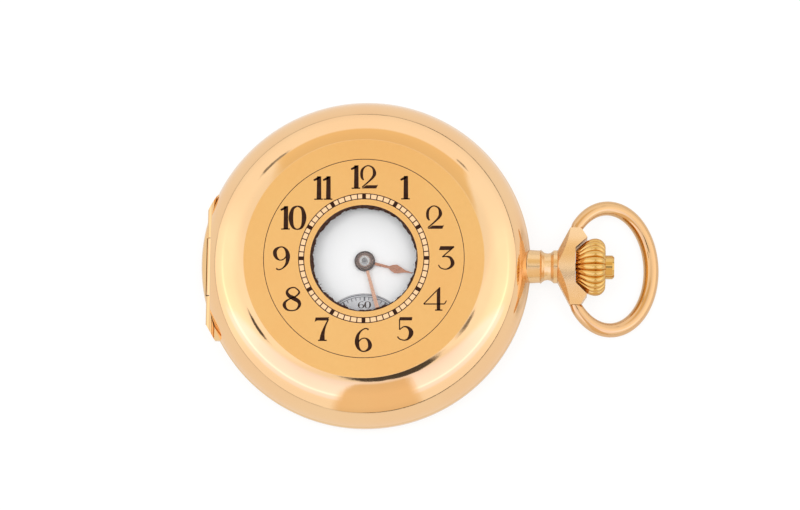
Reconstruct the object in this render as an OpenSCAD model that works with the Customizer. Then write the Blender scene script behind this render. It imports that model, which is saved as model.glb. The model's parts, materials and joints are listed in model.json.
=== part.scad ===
// Half-hunter pocket watch lying on its back, pendant to +X, twelve to +Y.
// The origin is the centre of the flat on the back cover.

/* [Case] */
// Diameter of the case
case_d = 51.8; // [51.4:0.1:53]
// Thickness from the back flat to the face of the lid
case_t = 13; // [12.9:0.1:14]
// Diameter of the flat face of the lid
lid_flat_d = 37.6; // [36:0.2:39]
// Radius of the lid's rounded shoulder
lid_shoulder_r = 7.6; // [7.2:0.1:7.8]
// Radius of the back cover's rounded shoulder
back_shoulder_r = 6; // [5.6:0.1:6.2]
// Wall of the lid and of the back cover
shell_t = 0.55; // [0.4:0.05:0.6]
// Height of the band of the case middle
band_h = 2.4; // [2.2:0.1:2.5]
// Height of the winding stem above the back flat
stem_z = 5.8; // [5.75:0.05:5.85]
// Gap between the band and each cover
seam = 0.08; // [0.05:0.01:0.12]
// Diameter of the window in the lid
window_d = 16.8; // [14:0.2:20]
// Thickness of the lid's glass
lid_glass_t = 0.4; // [0.3:0.05:0.45]
// Thickness of the inner crystal
crystal_t = 0.5; // [0.4:0.05:0.6]
// Wall of the cuvette
cuvette_t = 0.35; // [0.25:0.05:0.4]

/* [Hinges] */
// Length of the lid's hinge
lid_hinge_len = 23.2; // [20:0.2:24]
// How far the lid's hinge lies towards twelve o'clock from the middle (a minus sign is towards six)
lid_hinge_y = -0.75; // [-1:0.05:0.5]
// Radius of the lid's hinge tube
lid_hinge_r = 0.7; // [0.66:0.01:0.74]
// Length of the back cover's hinge
back_hinge_len = 13; // [12:0.2:13.4]
// Radius of the back cover's hinge tube
back_hinge_r = 0.75; // [0.7:0.01:0.78]
// Radius of the hinge pins
hinge_pin_r = 0.35; // [0.3:0.01:0.4]
// Running clearance of pins and shafts
run_gap = 0.04; // [0.03:0.01:0.06]

/* [Pendant] */
// Radius of the pendant collar at the case
collar_r = 2.65; // [2.5:0.05:2.8]
// Length from the case to the shoulder of the pendant head
neck_len = 4.05; // [4:0.05:4.4]
// Half width of the pendant head across the ears
head_half_w = 6.1; // [6:0.05:6.4]
// Half thickness of the pendant head at its middle
head_half_t = 2.9; // [2.8:0.05:3.1]
// Largest radius of the crown
crown_r = 4.52; // [4.3:0.02:4.7]
// Number of flutes on the crown
crown_flutes = 24; // [20:1:28]
// Radius of the push piece
push_r = 1.88; // [1.6:0.02:2]
// Radius of the winding stem
stem_r = 0.6; // [0.55:0.01:0.65]
// Pull of the crown to set the hands
pull = 0.8; // [0.6:0.05:0.9]

/* [Bow] */
// Half width of the bow, to the middle of the wire
bow_half_w = 9.7; // [9.4:0.1:10.5]
// Half length of the bow's oval, to the middle of the wire
bow_half_l = 7.16; // [6.8:0.02:7.6]
// Radius of the wire at the far end
bow_wire_r = 1.2; // [1:0.02:1.3]

/* [Dial and hands] */
// Diameter of the dial
dial_d = 40.6; // [40:0.1:40.8]
// Thickness of the dial
dial_t = 0.7; // [0.6:0.05:0.75]
// Diameter of the seconds dial
seconds_d = 14.4; // [12:0.2:14.4]
// Length of the minute hand
minute_len = 16.4; // [14:0.2:17]
// Length of the hour hand
hour_len = 7.7; // [7:0.1:11]
// Length of the seconds hand
second_len = 5.4; // [4:0.1:6]

/* [Movement] */
// Diameter of the movement
movement_d = 42.9; // [42.7:0.1:43]
// Thickness of the main plate
plate_t = 2.4; // [2.3:0.05:2.45]
// Thickness of the bridges
bridge_t = 0.8; // [0.7:0.05:0.9]
// Radius of the balance
balance_r = 6.9; // [6.2:0.1:7]
// Turns of the hairspring
hairspring_turns = 4.5; // [3.5:0.5:4.5]
// Turns of the mainspring
mainspring_turns = 7; // [5:1:7]

/* [Hidden] */
$fn = 64;
gold = [0.93, 0.70, 0.38];
steel = [0.72, 0.73, 0.75];
nickel = [0.80, 0.79, 0.76];
gilt = [0.86, 0.69, 0.38];
blue = [0.15, 0.2, 0.45];
ruby = [0.75, 0.08, 0.2];
eps = 0.01;
screw_slot = 0.24;

// Heights of the case
case_r = case_d / 2;
band_lo = stem_z - band_h / 2;
band_hi = stem_z + band_h / 2;
lid_flat_r = lid_flat_d / 2;
lid_cx = case_r - lid_shoulder_r;
lid_cz = case_t - sqrt(pow(lid_shoulder_r, 2) - pow(lid_flat_r - lid_cx, 2));
back_cx = case_r - back_shoulder_r;
band_bevel = 0.2;
window_r = window_d / 2;

// Heights of the movement
plate_lo = stem_z;
plate_hi = plate_lo + plate_t;
movement_r = movement_d / 2;
bridge_hi = plate_lo - 2.1;
bridge_lo = bridge_hi - bridge_t;
bridge_r = movement_r - 0.85;
dial_seat = 0.3;
dial_lo = plate_hi + dial_seat;
dial_top = dial_lo + dial_t;
dial_r = dial_d / 2;
crystal_lo = dial_top + 1.8;
crystal_r = dial_r + 0.3;

// Going train: teeth, modules and centres
m_barrel = 0.21;
m_third = 0.17;
m_fourth = 0.13;
barrel_teeth = 78;
center_pinion_teeth = 12;
center_teeth = 80;
third_pinion_teeth = 10;
third_teeth = 75;
fourth_pinion_teeth = 10;
fourth_teeth = 80;
escape_pinion_teeth = 8;
escape_teeth = 15;
function polar(r, a) = [r * cos(a), r * sin(a)];
function pitch_r(n, m) = n * m / 2;
barrel_dir = 46;
barrel_dist = pitch_r(barrel_teeth, m_barrel) + pitch_r(center_pinion_teeth, m_barrel);
barrel_c = polar(barrel_dist, barrel_dir);
third_dist = pitch_r(center_teeth, m_barrel) + pitch_r(third_pinion_teeth, m_barrel);
fourth_gap = pitch_r(third_teeth, m_third) + pitch_r(fourth_pinion_teeth, m_third);
fourth_c = [0, -12.2];
third_y = (pow(fourth_gap, 2) - pow(third_dist, 2) - pow(fourth_c[1], 2)) / (-2 * fourth_c[1]);
third_c = [sqrt(pow(third_dist, 2) - pow(third_y, 2)), third_y];
escape_dir = 200;
escape_gap = pitch_r(fourth_teeth, m_fourth) + pitch_r(escape_pinion_teeth, m_fourth);
escape_c = fourth_c + polar(escape_gap, escape_dir);
escape_r = 2.9;
balance_dir = 127.4;
balance_c = escape_c + polar(9.6, balance_dir);
pallet_c = escape_c + polar(3.9, balance_dir);

// Levels of the train, above the back flat
center_z = bridge_hi + 0.2;
fourth_z = bridge_hi + 0.75;
third_z = bridge_hi + 1.3;
escape_z = bridge_hi + 1.5;
wheel_t = 0.18;
barrel_z = bridge_hi + 0.6;
barrel_h = 2.05;
barrel_pivot_r = 0.9;
arbor_collar_r = 1.2;
barrel_r = pitch_r(barrel_teeth, m_barrel) - 0.55;
barrel_tip_r = pitch_r(barrel_teeth, m_barrel) + 0.9 * m_barrel;
balance_z = bridge_lo - 0.42;
staff_r = 0.32;
fourth_staff_r = 0.3;
pivot_r = 0.14;
jewel_r = 0.7;
jewel_t = 0.3;

// Winding and setting works
m_ratchet = 0.3;
crown_teeth = 28;
ratchet_teeth = 46;
winding_gap = pitch_r(crown_teeth, m_ratchet) + pitch_r(ratchet_teeth, m_ratchet);
crown_wheel_c = [barrel_c[0] + sqrt(pow(winding_gap, 2) - pow(barrel_c[1], 2)), 0];
ratchet_z = bridge_lo - 0.55;
ratchet_t = 0.5;
contrate_r = 3.2;
winding_x = crown_wheel_c[0] + contrate_r - 0.75;
winding_r = 1.9;
contrate_top = stem_z - winding_r - 0.06;
sliding_x = crown_wheel_c[0] - 0.55;
sliding_len = winding_x - 0.15 - sliding_x;
keyless_x = sliding_x - pull - 0.1;
yoke_slot_x = sliding_x + 1.4;
lever_groove_x = winding_x + 2.0;
lever_pivot = [lever_groove_x + 0.1, -4.0];
yoke_pivot = [yoke_slot_x - pull / 2, 4.6];
m_motion = 0.2;
m_hour = 0.24;
cannon_teeth = 12;
minute_teeth = 36;
minute_pinion_teeth = 8;
hour_teeth = 32;
setting_teeth = 26;
minute_c = [pitch_r(cannon_teeth + minute_teeth, m_motion), 0];
setting_c = [minute_c[0] + pitch_r(minute_teeth + setting_teeth, m_motion), 0];
recess_z = stem_z + 1.3;
motion_z = recess_z + 0.2;

// Hinge axes, all along Y
lid_axis = [-(case_r - 1.6), band_hi];
back_axis = [-(case_r - 1.4), band_lo];
cuvette_axis = [-(case_r - 2.7), band_lo - 0.25];
lid_knuckle = 9;
back_knuckle = 6;
cuvette_hinge_len = 8;
cuvette_knuckle = 3.6;
cuvette_hinge_r = 0.4;
cuvette_pin_r = 0.2;
knuckle_gap = 0.1;
tube_gap = 0.1;
cover_cut = 0.05;
hinge_bevel = 2.6;
lid_pin_len = lid_hinge_len - 2 * hinge_bevel + 0.8;
back_pin_len = back_hinge_len - 1;

// Pendant, along X from the case
neck_x = case_r + 0.15;
collar_x = case_r - 0.5;
collar_gap = 0.12;
head_x = neck_x + neck_len;
bow_axis_x = head_x + 2.8;
crown_x = head_x + 2.85;
crown_len = 4.7;
push_x = crown_x + crown_len;
push_travel = 1.0;
push_len = 1.35;
push_shank_r = 1.0;
stem_end_x = push_x - 2 * push_travel - 0.7;
bow_end_r = 0.92;
bow_seat_y = head_half_w + run_gap;
bow_u0 = bow_half_l * sqrt(1 - pow(bow_seat_y / bow_half_w, 2)) + 0.1;
bow_droop = asin((stem_z - bow_wire_r - 0.06) / (bow_u0 + bow_half_l));

// Solids used by many parts
module disc(r, z0, z1) {
    translate([0, 0, z0]) cylinder(r = r, h = z1 - z0);
}
module ring(ro, ri, z0, z1) {
    difference() {
        disc(ro, z0, z1);
        disc(ri, z0 - 1, z1 + 1);
    }
}
module at(c) {
    translate([c[0], c[1], 0]) children();
}
module along_y(axis) {
    translate([axis[0], 0, axis[1]]) rotate([90, 0, 0]) children();
}
module along_x(x) {
    translate([x, 0, stem_z]) rotate([0, 90, 0]) children();
}
// Angle of a pinion's leaf that meshes with a wheel seen from the wheel in direction dir
function mesh_phase(dir, n_wheel, phase, n_pinion) =
    dir + 180 - ((phase - dir) * n_wheel + 180) / n_pinion;
// Outline of a toothed wheel with straight flanks
module teeth_2d(n, m, phase, fill, add, ded) {
    rp = pitch_r(n, m);
    step = 360 / n;
    base = step * fill;
    tip = base * 0.5;
    rotate(phase) polygon([for (i = [0 : n - 1]) for (p = [[rp - ded * m, -base * 0.62],
        [rp + add * m, -tip / 2], [rp + add * m, tip / 2], [rp - ded * m, base * 0.62]])
        polar(p[0], i * step + p[1])]);
}
module pinion(n, m, phase, z0, z1) {
    translate([0, 0, z0]) linear_extrude(z1 - z0) teeth_2d(n, m, phase, 0.36, 0.8, 1.25);
}
// A wheel with a toothed rim, a hub and crossed arms
module wheel(n, m, phase, z0, t, arms, hub_r, rim_w) {
    inner = pitch_r(n, m) - 1.3 * m - rim_w;
    translate([0, 0, z0]) linear_extrude(t) difference() {
        teeth_2d(n, m, phase, 0.44, 0.9, 1.25);
        difference() {
            circle(inner);
            circle(hub_r);
            for (i = [0 : arms - 1]) {
                rotate(i * 360 / arms) translate([0, -rim_w / 2]) square([inner + 1, rim_w]);
            }
        }
    }
}
// An arbor with a thinner pivot at each end
module arbor(z0, z1, r, pivot_len) {
    disc(r, z0 + pivot_len, z1 - pivot_len);
    disc(pivot_r, z0, z1);
}
// A flat spiral ribbon: each turn steps outward by the same pitch
function spiral_pitch(r0, r1, turns) = (r1 - r0) / turns;
module ribbon(r0, r1, turns, t, w, z0) {
    steps = 24;
    count = round(turns * steps);
    pitch = spiral_pitch(r0, r1, turns);
    inner = [for (i = [0 : count]) polar(r0 + pitch * i / steps, i * 360 / steps)];
    outer = [for (i = [count : -1 : 0]) polar(r0 + t + pitch * i / steps, i * 360 / steps)];
    translate([0, 0, z0]) linear_extrude(w) polygon(concat(inner, outer));
    echo(spiral_gap = min([for (i = [0 : count - steps]) norm(inner[i + steps] - inner[i]) - t]));
}
// A slotted screw, its head on the side of lower Z
module screw(c, z_head, head_r, head_h, shank_r, len) {
    at(c) {
        difference() {
            disc(head_r, z_head, z_head + head_h);
            translate([-head_r - 1, -screw_slot / 2, z_head - 1])
                cube([2 * head_r + 2, screw_slot, 1 + head_h * 0.45]);
        }
        disc(shank_r, z_head + head_h - eps, z_head + head_h + len);
    }
}
module screw_hole(c, shank_r, z0, z1) {
    at(c) disc(shank_r + 0.03, z0, z1);
}

// Case
module shell_2d(cx, cz, rho, flat_r, z_flat, up) {
    intersection() {
        translate([cx, cz]) circle(rho);
        translate([flat_r, up ? cz : z_flat]) square([cx + rho, up ? z_flat - cz : cz - z_flat]);
    }
    translate([0, up ? cz : z_flat]) square([flat_r + eps, up ? z_flat - cz : cz - z_flat]);
}
module lid_section() {
    difference() {
        shell_2d(lid_cx, lid_cz, lid_shoulder_r, lid_flat_r, case_t, true);
        shell_2d(lid_cx, lid_cz, lid_shoulder_r - shell_t, lid_cx, case_t - shell_t, true);
        translate([-1, 0]) square([window_r + 1, case_t + 1]);
        square([case_r + 1, band_hi + seam]);
    }
    translate([window_r + 0.65, case_t - shell_t - lid_glass_t]) square([0.6, lid_glass_t + eps]);
}
module collar_notch() {
    along_x(collar_x - collar_gap) cylinder(r = collar_r + collar_gap, h = 4);
}
module hinge_groove(axis, r, len) {
    along_y(axis) cylinder(r = r + tube_gap, h = len, center = true);
}
module lid_hinge_place() {
    translate([0, lid_hinge_y, 0]) children();
}
module tube(axis, r, len) {
    along_y(axis) cylinder(r = r, h = len, center = true);
}
module front_lid() {
    color(gold) difference() {
        union() {
            difference() {
                rotate_extrude($fn = 128) lid_section();
                translate([-case_r - 2, -case_r, 0])
                    cube([lid_axis[0] + case_r + 2 + cover_cut, case_d, case_t]);
                lid_hinge_place() hinge_groove(lid_axis, lid_hinge_r, lid_hinge_len + 0.4);
                collar_notch();
            }
            lid_hinge_place() tube(lid_axis, lid_hinge_r, lid_knuckle);
            intersection() {
                lid_hinge_place() translate([lid_axis[0] + 0.1, -lid_knuckle / 2, band_hi + 0.15])
                    cube([0.3, lid_knuckle, 2.7]);
                rotate_extrude($fn = 128)
                    shell_2d(lid_cx, lid_cz, lid_shoulder_r - eps, lid_flat_r, case_t, true);
            }
        }
        tube(lid_axis, hinge_pin_r + run_gap, case_d);
    }
}
module lid_crystal() {
    color([0.8, 0.85, 0.9, 0.4]) disc(window_r + 0.6, case_t - shell_t - lid_glass_t, case_t - shell_t);
}
module back_section() {
    difference() {
        shell_2d(back_cx, back_shoulder_r, back_shoulder_r, back_cx, 0, false);
        shell_2d(back_cx, back_shoulder_r, back_shoulder_r - shell_t, back_cx, shell_t, false);
        translate([0, band_lo - seam]) square([case_r + 1, case_t]);
    }
}
module back_cover() {
    color(gold) difference() {
        union() {
            difference() {
                rotate_extrude($fn = 128) back_section();
                translate([-case_r - 2, -case_r, -1])
                    cube([back_axis[0] + case_r + 2 + cover_cut, case_d, case_t]);
                hinge_groove(back_axis, back_hinge_r, back_hinge_len + 0.4);
                collar_notch();
            }
            tube(back_axis, back_hinge_r, back_knuckle);
            intersection() {
                translate([back_axis[0] + 0.3, -back_knuckle / 2, band_lo - 2.2])
                    cube([0.4, back_knuckle, 2.05]);
                rotate_extrude($fn = 128)
                    shell_2d(back_cx, back_shoulder_r, back_shoulder_r - eps, back_cx, 0, false);
            }
        }
        tube(back_axis, hinge_pin_r + run_gap, case_d);
    }
}
cuvette_cx = case_r - 6.9;
cuvette_cz = band_lo + 0.4;
cuvette_rho = cuvette_cz - shell_t - 0.3;
module cuvette() {
    color(gold) difference() {
        union() {
            difference() {
                rotate_extrude($fn = 128) difference() {
                    shell_2d(cuvette_cx, cuvette_cz, cuvette_rho, cuvette_cx, shell_t + 0.3, false);
                    shell_2d(cuvette_cx, cuvette_cz, cuvette_rho - cuvette_t, cuvette_cx,
                        shell_t + 0.3 + cuvette_t, false);
                    translate([0, band_lo - 0.1]) square([case_r, case_t]);
                }
                hinge_groove(cuvette_axis, cuvette_hinge_r, cuvette_hinge_len + 0.4);
            }
            tube(cuvette_axis, cuvette_hinge_r, cuvette_knuckle);
            translate([cuvette_axis[0] + 0.3, -cuvette_knuckle / 2, cuvette_axis[1] - 0.35])
                cube([0.45, cuvette_knuckle, 0.4]);
        }
        tube(cuvette_axis, cuvette_pin_r + run_gap, case_d);
    }
}
ledge_r = movement_r - 0.55;
spring_groove_ri = case_r - 2.0;
spring_groove_ro = case_r - 0.95;
spigot_r = 1.15;
groove_z = band_hi - 1.35;
leaf_t = 0.35;
module outer_knuckles(axis, r, len, gap_len) {
    for (s = [-1, 1]) {
        translate([0, s * (gap_len / 2 + knuckle_gap + (len - gap_len) / 4), 0])
            tube(axis, r, (len - gap_len) / 2 - knuckle_gap);
    }
}
module lid_hinge_plan() {
    x0 = lid_axis[0] - lid_hinge_r - eps;
    y1 = lid_hinge_len / 2;
    y0 = y1 - hinge_bevel;
    polygon([[x0, -y0], [lid_axis[0] + 0.8, -y1], [lid_axis[0] + 3, -y1],
        [lid_axis[0] + 3, y1], [lid_axis[0] + 0.8, y1], [x0, y0]]);
}
module band_section() {
    polygon([[movement_r + 0.05, band_lo], [case_r - band_bevel, band_lo], [case_r, band_lo + 0.6],
        [case_r, band_hi - 0.6], [case_r - band_bevel, band_hi], [movement_r + 0.05, band_hi]]);
}
module case_middle() {
    color(gold) difference() {
        union() {
            rotate_extrude($fn = 128) band_section();
            ring(movement_r + 0.5, ledge_r, band_lo + 0.4, plate_lo);
            lid_hinge_place() intersection() {
                union() {
                    translate([lid_axis[0], -lid_hinge_len / 2, band_hi - 1]) cube([2, lid_hinge_len, 1]);
                    outer_knuckles(lid_axis, lid_hinge_r, lid_hinge_len, lid_knuckle);
                }
                linear_extrude(case_t) lid_hinge_plan();
            }
            intersection() {
                outer_knuckles(back_axis, back_hinge_r, back_hinge_len, back_knuckle);
                disc(case_r, 0, case_t);
            }
            outer_knuckles(cuvette_axis, cuvette_hinge_r, cuvette_hinge_len, cuvette_knuckle);
        }
        lid_hinge_place() hinge_groove(lid_axis, lid_hinge_r, lid_knuckle + 2 * knuckle_gap);
        hinge_groove(back_axis, back_hinge_r, back_knuckle + 2 * knuckle_gap);
        hinge_groove(cuvette_axis, cuvette_hinge_r, cuvette_knuckle + 2 * knuckle_gap);
        lid_hinge_place() tube(lid_axis, hinge_pin_r, lid_hinge_len + 2);
        tube(back_axis, hinge_pin_r, back_hinge_len + 2);
        tube(cuvette_axis, cuvette_pin_r, cuvette_hinge_len + 2);
        along_x(collar_x) cylinder(r = collar_r, h = 4);
        along_x(spring_groove_ro) cylinder(r = spigot_r, h = 3);
        along_x(movement_r - 2) cylinder(r = stem_r + 0.1, h = 8);
        spring_groove(0, 40);
        spring_groove(125, 22);
        for (a = case_screw_dirs) at(polar(case_screw_r, a)) {
            disc(0.55, 0, case_t);
            disc(case_head_r + 0.05, 0, band_lo + 0.4);
        }
    }
}
module sector_2d(r, mid, half) {
    polygon([[0, 0], for (i = [-4 : 4]) polar(r, mid + half * i / 4)]);
}
module spring_groove(mid, half) {
    intersection() {
        ring(spring_groove_ro, spring_groove_ri, groove_z, band_hi + 1);
        translate([0, 0, -1]) linear_extrude(case_t) sector_2d(case_r * 2, mid, half);
    }
}
module leaf_spring(mid, half, r) {
    intersection() {
        ring(r + leaf_t, r, groove_z, band_hi - 0.1);
        translate([0, 0, -1]) linear_extrude(case_t) sector_2d(case_r * 2, mid, half);
    }
}
module lock_spring() {
    color(steel) difference() {
        union() {
            leaf_spring(0, 38, spring_groove_ri + 0.5);
            translate([spring_groove_ri + 0.5, -1.2, band_hi - 0.6]) cube([leaf_t, 2.4, 0.95]);
        }
        along_x(20) cylinder(r = stem_r + 0.15, h = 8);
    }
}
module lid_spring() {
    color(steel) {
        leaf_spring(125, 20, spring_groove_ri + 0.2);
        rotate(143) translate([spring_groove_ri + 0.15, -0.9, band_hi - 0.6]) cube([leaf_t, 1.8, 0.95]);
        rotate(108) translate([spring_groove_ri, -0.8, groove_z]) cube([0.25, 1.6, 0.9]);
    }
}
module hinge_pin(axis, r, len) {
    color(steel) tube(axis, r, len);
}
case_screw_dirs = [128, -41];
case_screw_r = ledge_r - 0.35;
case_screw_clear = 1.5;
case_head_r = 1.1;
module case_screws() {
    color(blue) for (a = case_screw_dirs) {
        screw(polar(case_screw_r, a), band_lo - 0.15, case_head_r, 0.5, 0.45, 1.6);
    }
}
module bezel_section() {
    polygon([[movement_r + 0.1, band_hi], [spring_groove_ri - 0.1, band_hi],
        [spring_groove_ri - 0.1, band_hi + 2.4], [crystal_r + 1.0, crystal_lo + crystal_t],
        [crystal_r + 0.03, crystal_lo + crystal_t], [crystal_r + 0.03, crystal_lo],
        [crystal_r - 0.8, crystal_lo], [crystal_r - 0.8, crystal_lo - 0.4],
        [crystal_r, dial_top + 0.3], [crystal_r, plate_hi + 0.1], [movement_r + 0.1, plate_hi + 0.1]]);
}
module inner_bezel() {
    color(gold) difference() {
        rotate_extrude($fn = 128) bezel_section();
        lid_hinge_place() hinge_groove(lid_axis, lid_hinge_r, lid_hinge_len + 0.4);
    }
}
module crystal() {
    color([0.8, 0.85, 0.9, 0.35]) disc(crystal_r, crystal_lo, crystal_lo + crystal_t);
}

// Pendant, crown and bow
module revolve_x(points) {
    translate([0, 0, stem_z]) rotate([0, 90, 0]) rotate_extrude($fn = 96)
        polygon([for (p = points) [p[1], p[0]]]);
}
module pendant_neck() {
    color(gold) difference() {
        union() {
            along_x(spring_groove_ro + 0.05) cylinder(r = spigot_r, h = neck_x - spring_groove_ro);
            revolve_x([[collar_x, 0], [collar_x, collar_r], [neck_x + 1.3, collar_r - 0.1],
                [neck_x + 1.45, collar_r + 0.05], [neck_x + 1.6, collar_r - 0.15],
                [neck_x + 2.0, collar_r - 0.45], [neck_x + 2.5, collar_r - 0.55],
                [neck_x + 3.0, collar_r - 0.45], [neck_x + 3.3, collar_r - 0.2],
                [neck_x + 3.45, collar_r - 0.05], [head_x, collar_r - 0.05], [head_x, 0]]);
        }
        along_x(0) cylinder(r = stem_r + run_gap, h = 60);
    }
}
// Outline of the crown along the stem, grown by a gap
function crown_outline(gap) = [[-gap, 2.6 + gap], [0.8, 3.4 + gap], [1.8, crown_r - 0.35 + gap],
    [2.9, crown_r + gap], [3.9, crown_r - 0.2 + gap], [4.4, crown_r - 0.65 + gap],
    [crown_len + gap, crown_r - 1.4 + gap]];
function crown_at(points) = [for (p = points) [crown_x + p[0], p[1]]];
head_lens_r = 12.4;
head_seat_x = [1.9, 3.65];
head_tip = [4.65, 4.5];
head_root = 2.56;
head_facet_z = 1.16;
head_facet_slope = 1.5;
notch_half = 2.75;
module head_plan() {
    polygon([[0, -head_root], [head_seat_x[0], -head_half_w], [head_seat_x[1], -head_half_w],
        [head_tip[0], -head_tip[1]], [2.8, -notch_half], [2.8, notch_half],
        [head_tip[0], head_tip[1]], [head_seat_x[1], head_half_w], [head_seat_x[0], head_half_w],
        [0, head_root]]);
}
// Everything that lies inside the slanted facets along one edge, side 1 or -1, next to the neck
module head_facets(side) {
    depth = 2 * head_half_w;
    end_z = head_facet_z + depth * head_facet_slope;
    translate([head_x, side * head_root, stem_z])
        rotate([0, 0, -side * atan(head_seat_x[0] / (head_half_w - head_root))])
        rotate([90, 0, 0]) linear_extrude(4 * head_half_w, center = true)
        polygon([[0, -head_facet_z], [depth, -end_z], [depth, end_z], [0, head_facet_z]]);
}
module pendant_head() {
    side_r = head_half_w + 0.5;
    color(gold) difference() {
        intersection() {
            translate([head_x, 0, stem_z - 4]) linear_extrude(8) head_plan();
            translate([head_x - 1, 0, stem_z]) rotate([90, 0, 90]) linear_extrude(8) intersection() {
                translate([0, head_lens_r - head_half_t]) circle(head_lens_r, $fn = 96);
                translate([0, head_half_t - head_lens_r]) circle(head_lens_r, $fn = 96);
            }
            revolve_x([[head_x, 0], [head_x, head_root], [head_x + head_seat_x[0], head_half_w],
                [head_x + head_seat_x[0] + 0.3, side_r], [head_x + 6, side_r], [head_x + 6, 0]]);
            head_facets(1);
            head_facets(-1);
        }
        revolve_x(concat([[crown_x - 0.2, 0]], crown_at(crown_outline(0.2)),
            [[crown_x + crown_len + 0.2, 0]]));
        along_x(0) cylinder(r = stem_r + run_gap, h = 60);
        translate([bow_axis_x, 0, stem_z]) rotate([90, 0, 0]) difference() {
            cylinder(r = bow_pin_r + run_gap, h = 30, center = true);
            cylinder(r = 2, h = 2 * (head_half_w - 1.5), center = true);
        }
    }
}
module crown() {
    floor_line = [for (p = crown_outline(0)) [p[0], p[1] - flute_depth]];
    color(gold) difference() {
        revolve_x(concat([[crown_x, 0]], crown_at(crown_outline(0)), [[crown_x + crown_len, 0]]));
        for (i = [0 : crown_flutes - 1]) {
            translate([0, 0, stem_z]) rotate([90 + i * 360 / crown_flutes, 0, 0])
                linear_extrude(flute_w, center = true)
                    polygon(concat([[crown_x - 1, 2.2]], crown_at(floor_line),
                        [[crown_x + crown_len + 1, crown_r - 1.8], [crown_x + crown_len + 1, crown_r + 1],
                        [crown_x - 1, crown_r + 1]]));
        }
        along_x(push_x - push_travel - 0.2) cylinder(r = push_r + run_gap, h = 5);
        along_x(stem_end_x - eps) cylinder(r = push_shank_r + run_gap, h = 5);
        along_x(crown_x - 1) cylinder(r = stem_r, h = stem_end_x - crown_x + 1);
    }
}
flute_depth = 0.32;
flute_w = 0.3;
bow_pin_r = 0.5;
module push_piece() {
    color(gold) {
        along_x(push_x - 0.1) cylinder(r = push_r, h = push_len - 0.2);
        along_x(push_x + push_len - 0.3 - eps) cylinder(r1 = push_r, r2 = push_r - 0.25, h = 0.3);
        along_x(stem_end_x + push_travel + 0.15)
            cylinder(r = push_shank_r, h = push_x - stem_end_x - push_travel - 0.15);
    }
}
module stem() {
    color(steel) difference() {
        along_x(sliding_x - 0.9) cylinder(r = stem_r, h = stem_end_x - sliding_x + 0.9);
        translate([lever_groove_x, 0, stem_z]) rotate([0, 90, 0]) difference() {
            cylinder(r = 2, h = 0.42, center = true);
            cylinder(r = 0.35, h = 1, center = true);
        }
    }
}
// A point on the oval of the bow, from one end to the other
bow_start = asin(bow_seat_y / bow_half_w);
function bow_angle(s) = 180 - bow_start - s * (360 - 2 * bow_start);
function bow_wire(s) = bow_end_r + (bow_wire_r - bow_end_r) * sqrt(max(0, sin(s * 180)));
function bow_mid(s) = [bow_u0 + bow_half_l * cos(bow_angle(s)), bow_half_w * sin(bow_angle(s))];
function bow_dir(s) = let (d = bow_mid(min(1, s + 0.01)) - bow_mid(max(0, s - 0.01))) d / norm(d);
bow_steps = 48;
bow_sides = 16;
function bow_normal(s) = s <= 0 || s >= 1 ? [-1, 0] : [-bow_dir(s)[1], bow_dir(s)[0]];
module bow() {
    rings = [for (i = [0 : bow_steps], j = [0 : bow_sides - 1])
        let (s = i / bow_steps, c = bow_mid(s), n = bow_normal(s), w = bow_wire(s), a = j * 360 / bow_sides)
        [c[0] + w * cos(a) * n[0], c[1] + w * cos(a) * n[1], w * sin(a)]];
    color(gold) translate([bow_axis_x, 0, stem_z]) rotate([0, bow_droop, 0]) {
        sweep(rings, bow_steps, bow_sides);
        for (s = [-1, 1]) {
            rotate([90, 0, 0]) translate([0, 0, s * (head_half_w - 0.6)])
                cylinder(r = bow_pin_r, h = 1.4, center = true);
        }
    }
}
module sweep(points, steps, sides) {
    polyhedron(points, concat([[for (j = [0 : sides - 1]) j]],
        [[for (j = [sides - 1 : -1 : 0]) steps * sides + j]],
        [for (i = [0 : steps - 1]) for (j = [0 : sides - 1]) let (k = (j + 1) % sides)
            [i * sides + k, i * sides + j, (i + 1) * sides + j, (i + 1) * sides + k]]));
}

// Dial and hands
module dial() {
    color("white") difference() {
        union() {
            disc(dial_r, dial_lo, dial_top);
            ring(dial_r, dial_r - 0.9, plate_hi, dial_lo + eps);
            for (a = [45, 165, 285]) at(polar(dial_foot_r, a)) disc(0.4, plate_hi - 1, dial_lo + eps);
        }
        disc(1.45, 0, case_t);
        at(fourth_c) disc(seconds_d / 2, 0, case_t);
    }
}
dial_foot_r = 18.2;
seconds_top = dial_top - 0.3;
module seconds_dial() {
    color("gainsboro") at(fourth_c) difference() {
        disc(seconds_d / 2 - 0.01, dial_lo, seconds_top);
        disc(0.35, 0, case_t);
    }
}
hour_z = dial_top + 0.55;
minute_z = hour_z + 0.42;
hour_dir = -13.68;
minute_dir = -74.1;
second_dir = -120;
module hour_hand() {
    color([0.75, 0.42, 0.28]) rotate(hour_dir) difference() {
        union() {
            disc(1.6, hour_z, hour_z + 0.2);
            translate([0, 0, hour_z]) linear_extrude(0.2)
                polygon([[1.2, -0.25], [3.95, -0.19], [4.35, -0.48], [5, -0.7], [5.8, -0.45], [6.5, -0.17],
                    [hour_len, -0.05], [hour_len, 0.05], [6.5, 0.17], [5.8, 0.45], [5, 0.7], [4.35, 0.48],
                    [3.95, 0.19], [1.2, 0.25]]);
        }
        disc(hour_tube_r, 0, case_t);
    }
}
module minute_hand() {
    color([0.78, 0.48, 0.32]) rotate(minute_dir) difference() {
        union() {
            disc(1.25, minute_z, minute_z + 0.18);
            translate([0, 0, minute_z]) linear_extrude(0.18)
                polygon([[1.0, -0.21], [8.5, -0.33], [11.5, -0.36], [12.3, -0.62], [13.3, -0.36],
                    [minute_len, -0.05], [minute_len, 0.05], [13.3, 0.36], [12.3, 0.62], [11.5, 0.36],
                    [8.5, 0.33], [1.0, 0.21]]);
        }
        disc(cannon_r, 0, case_t);
    }
}
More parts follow.
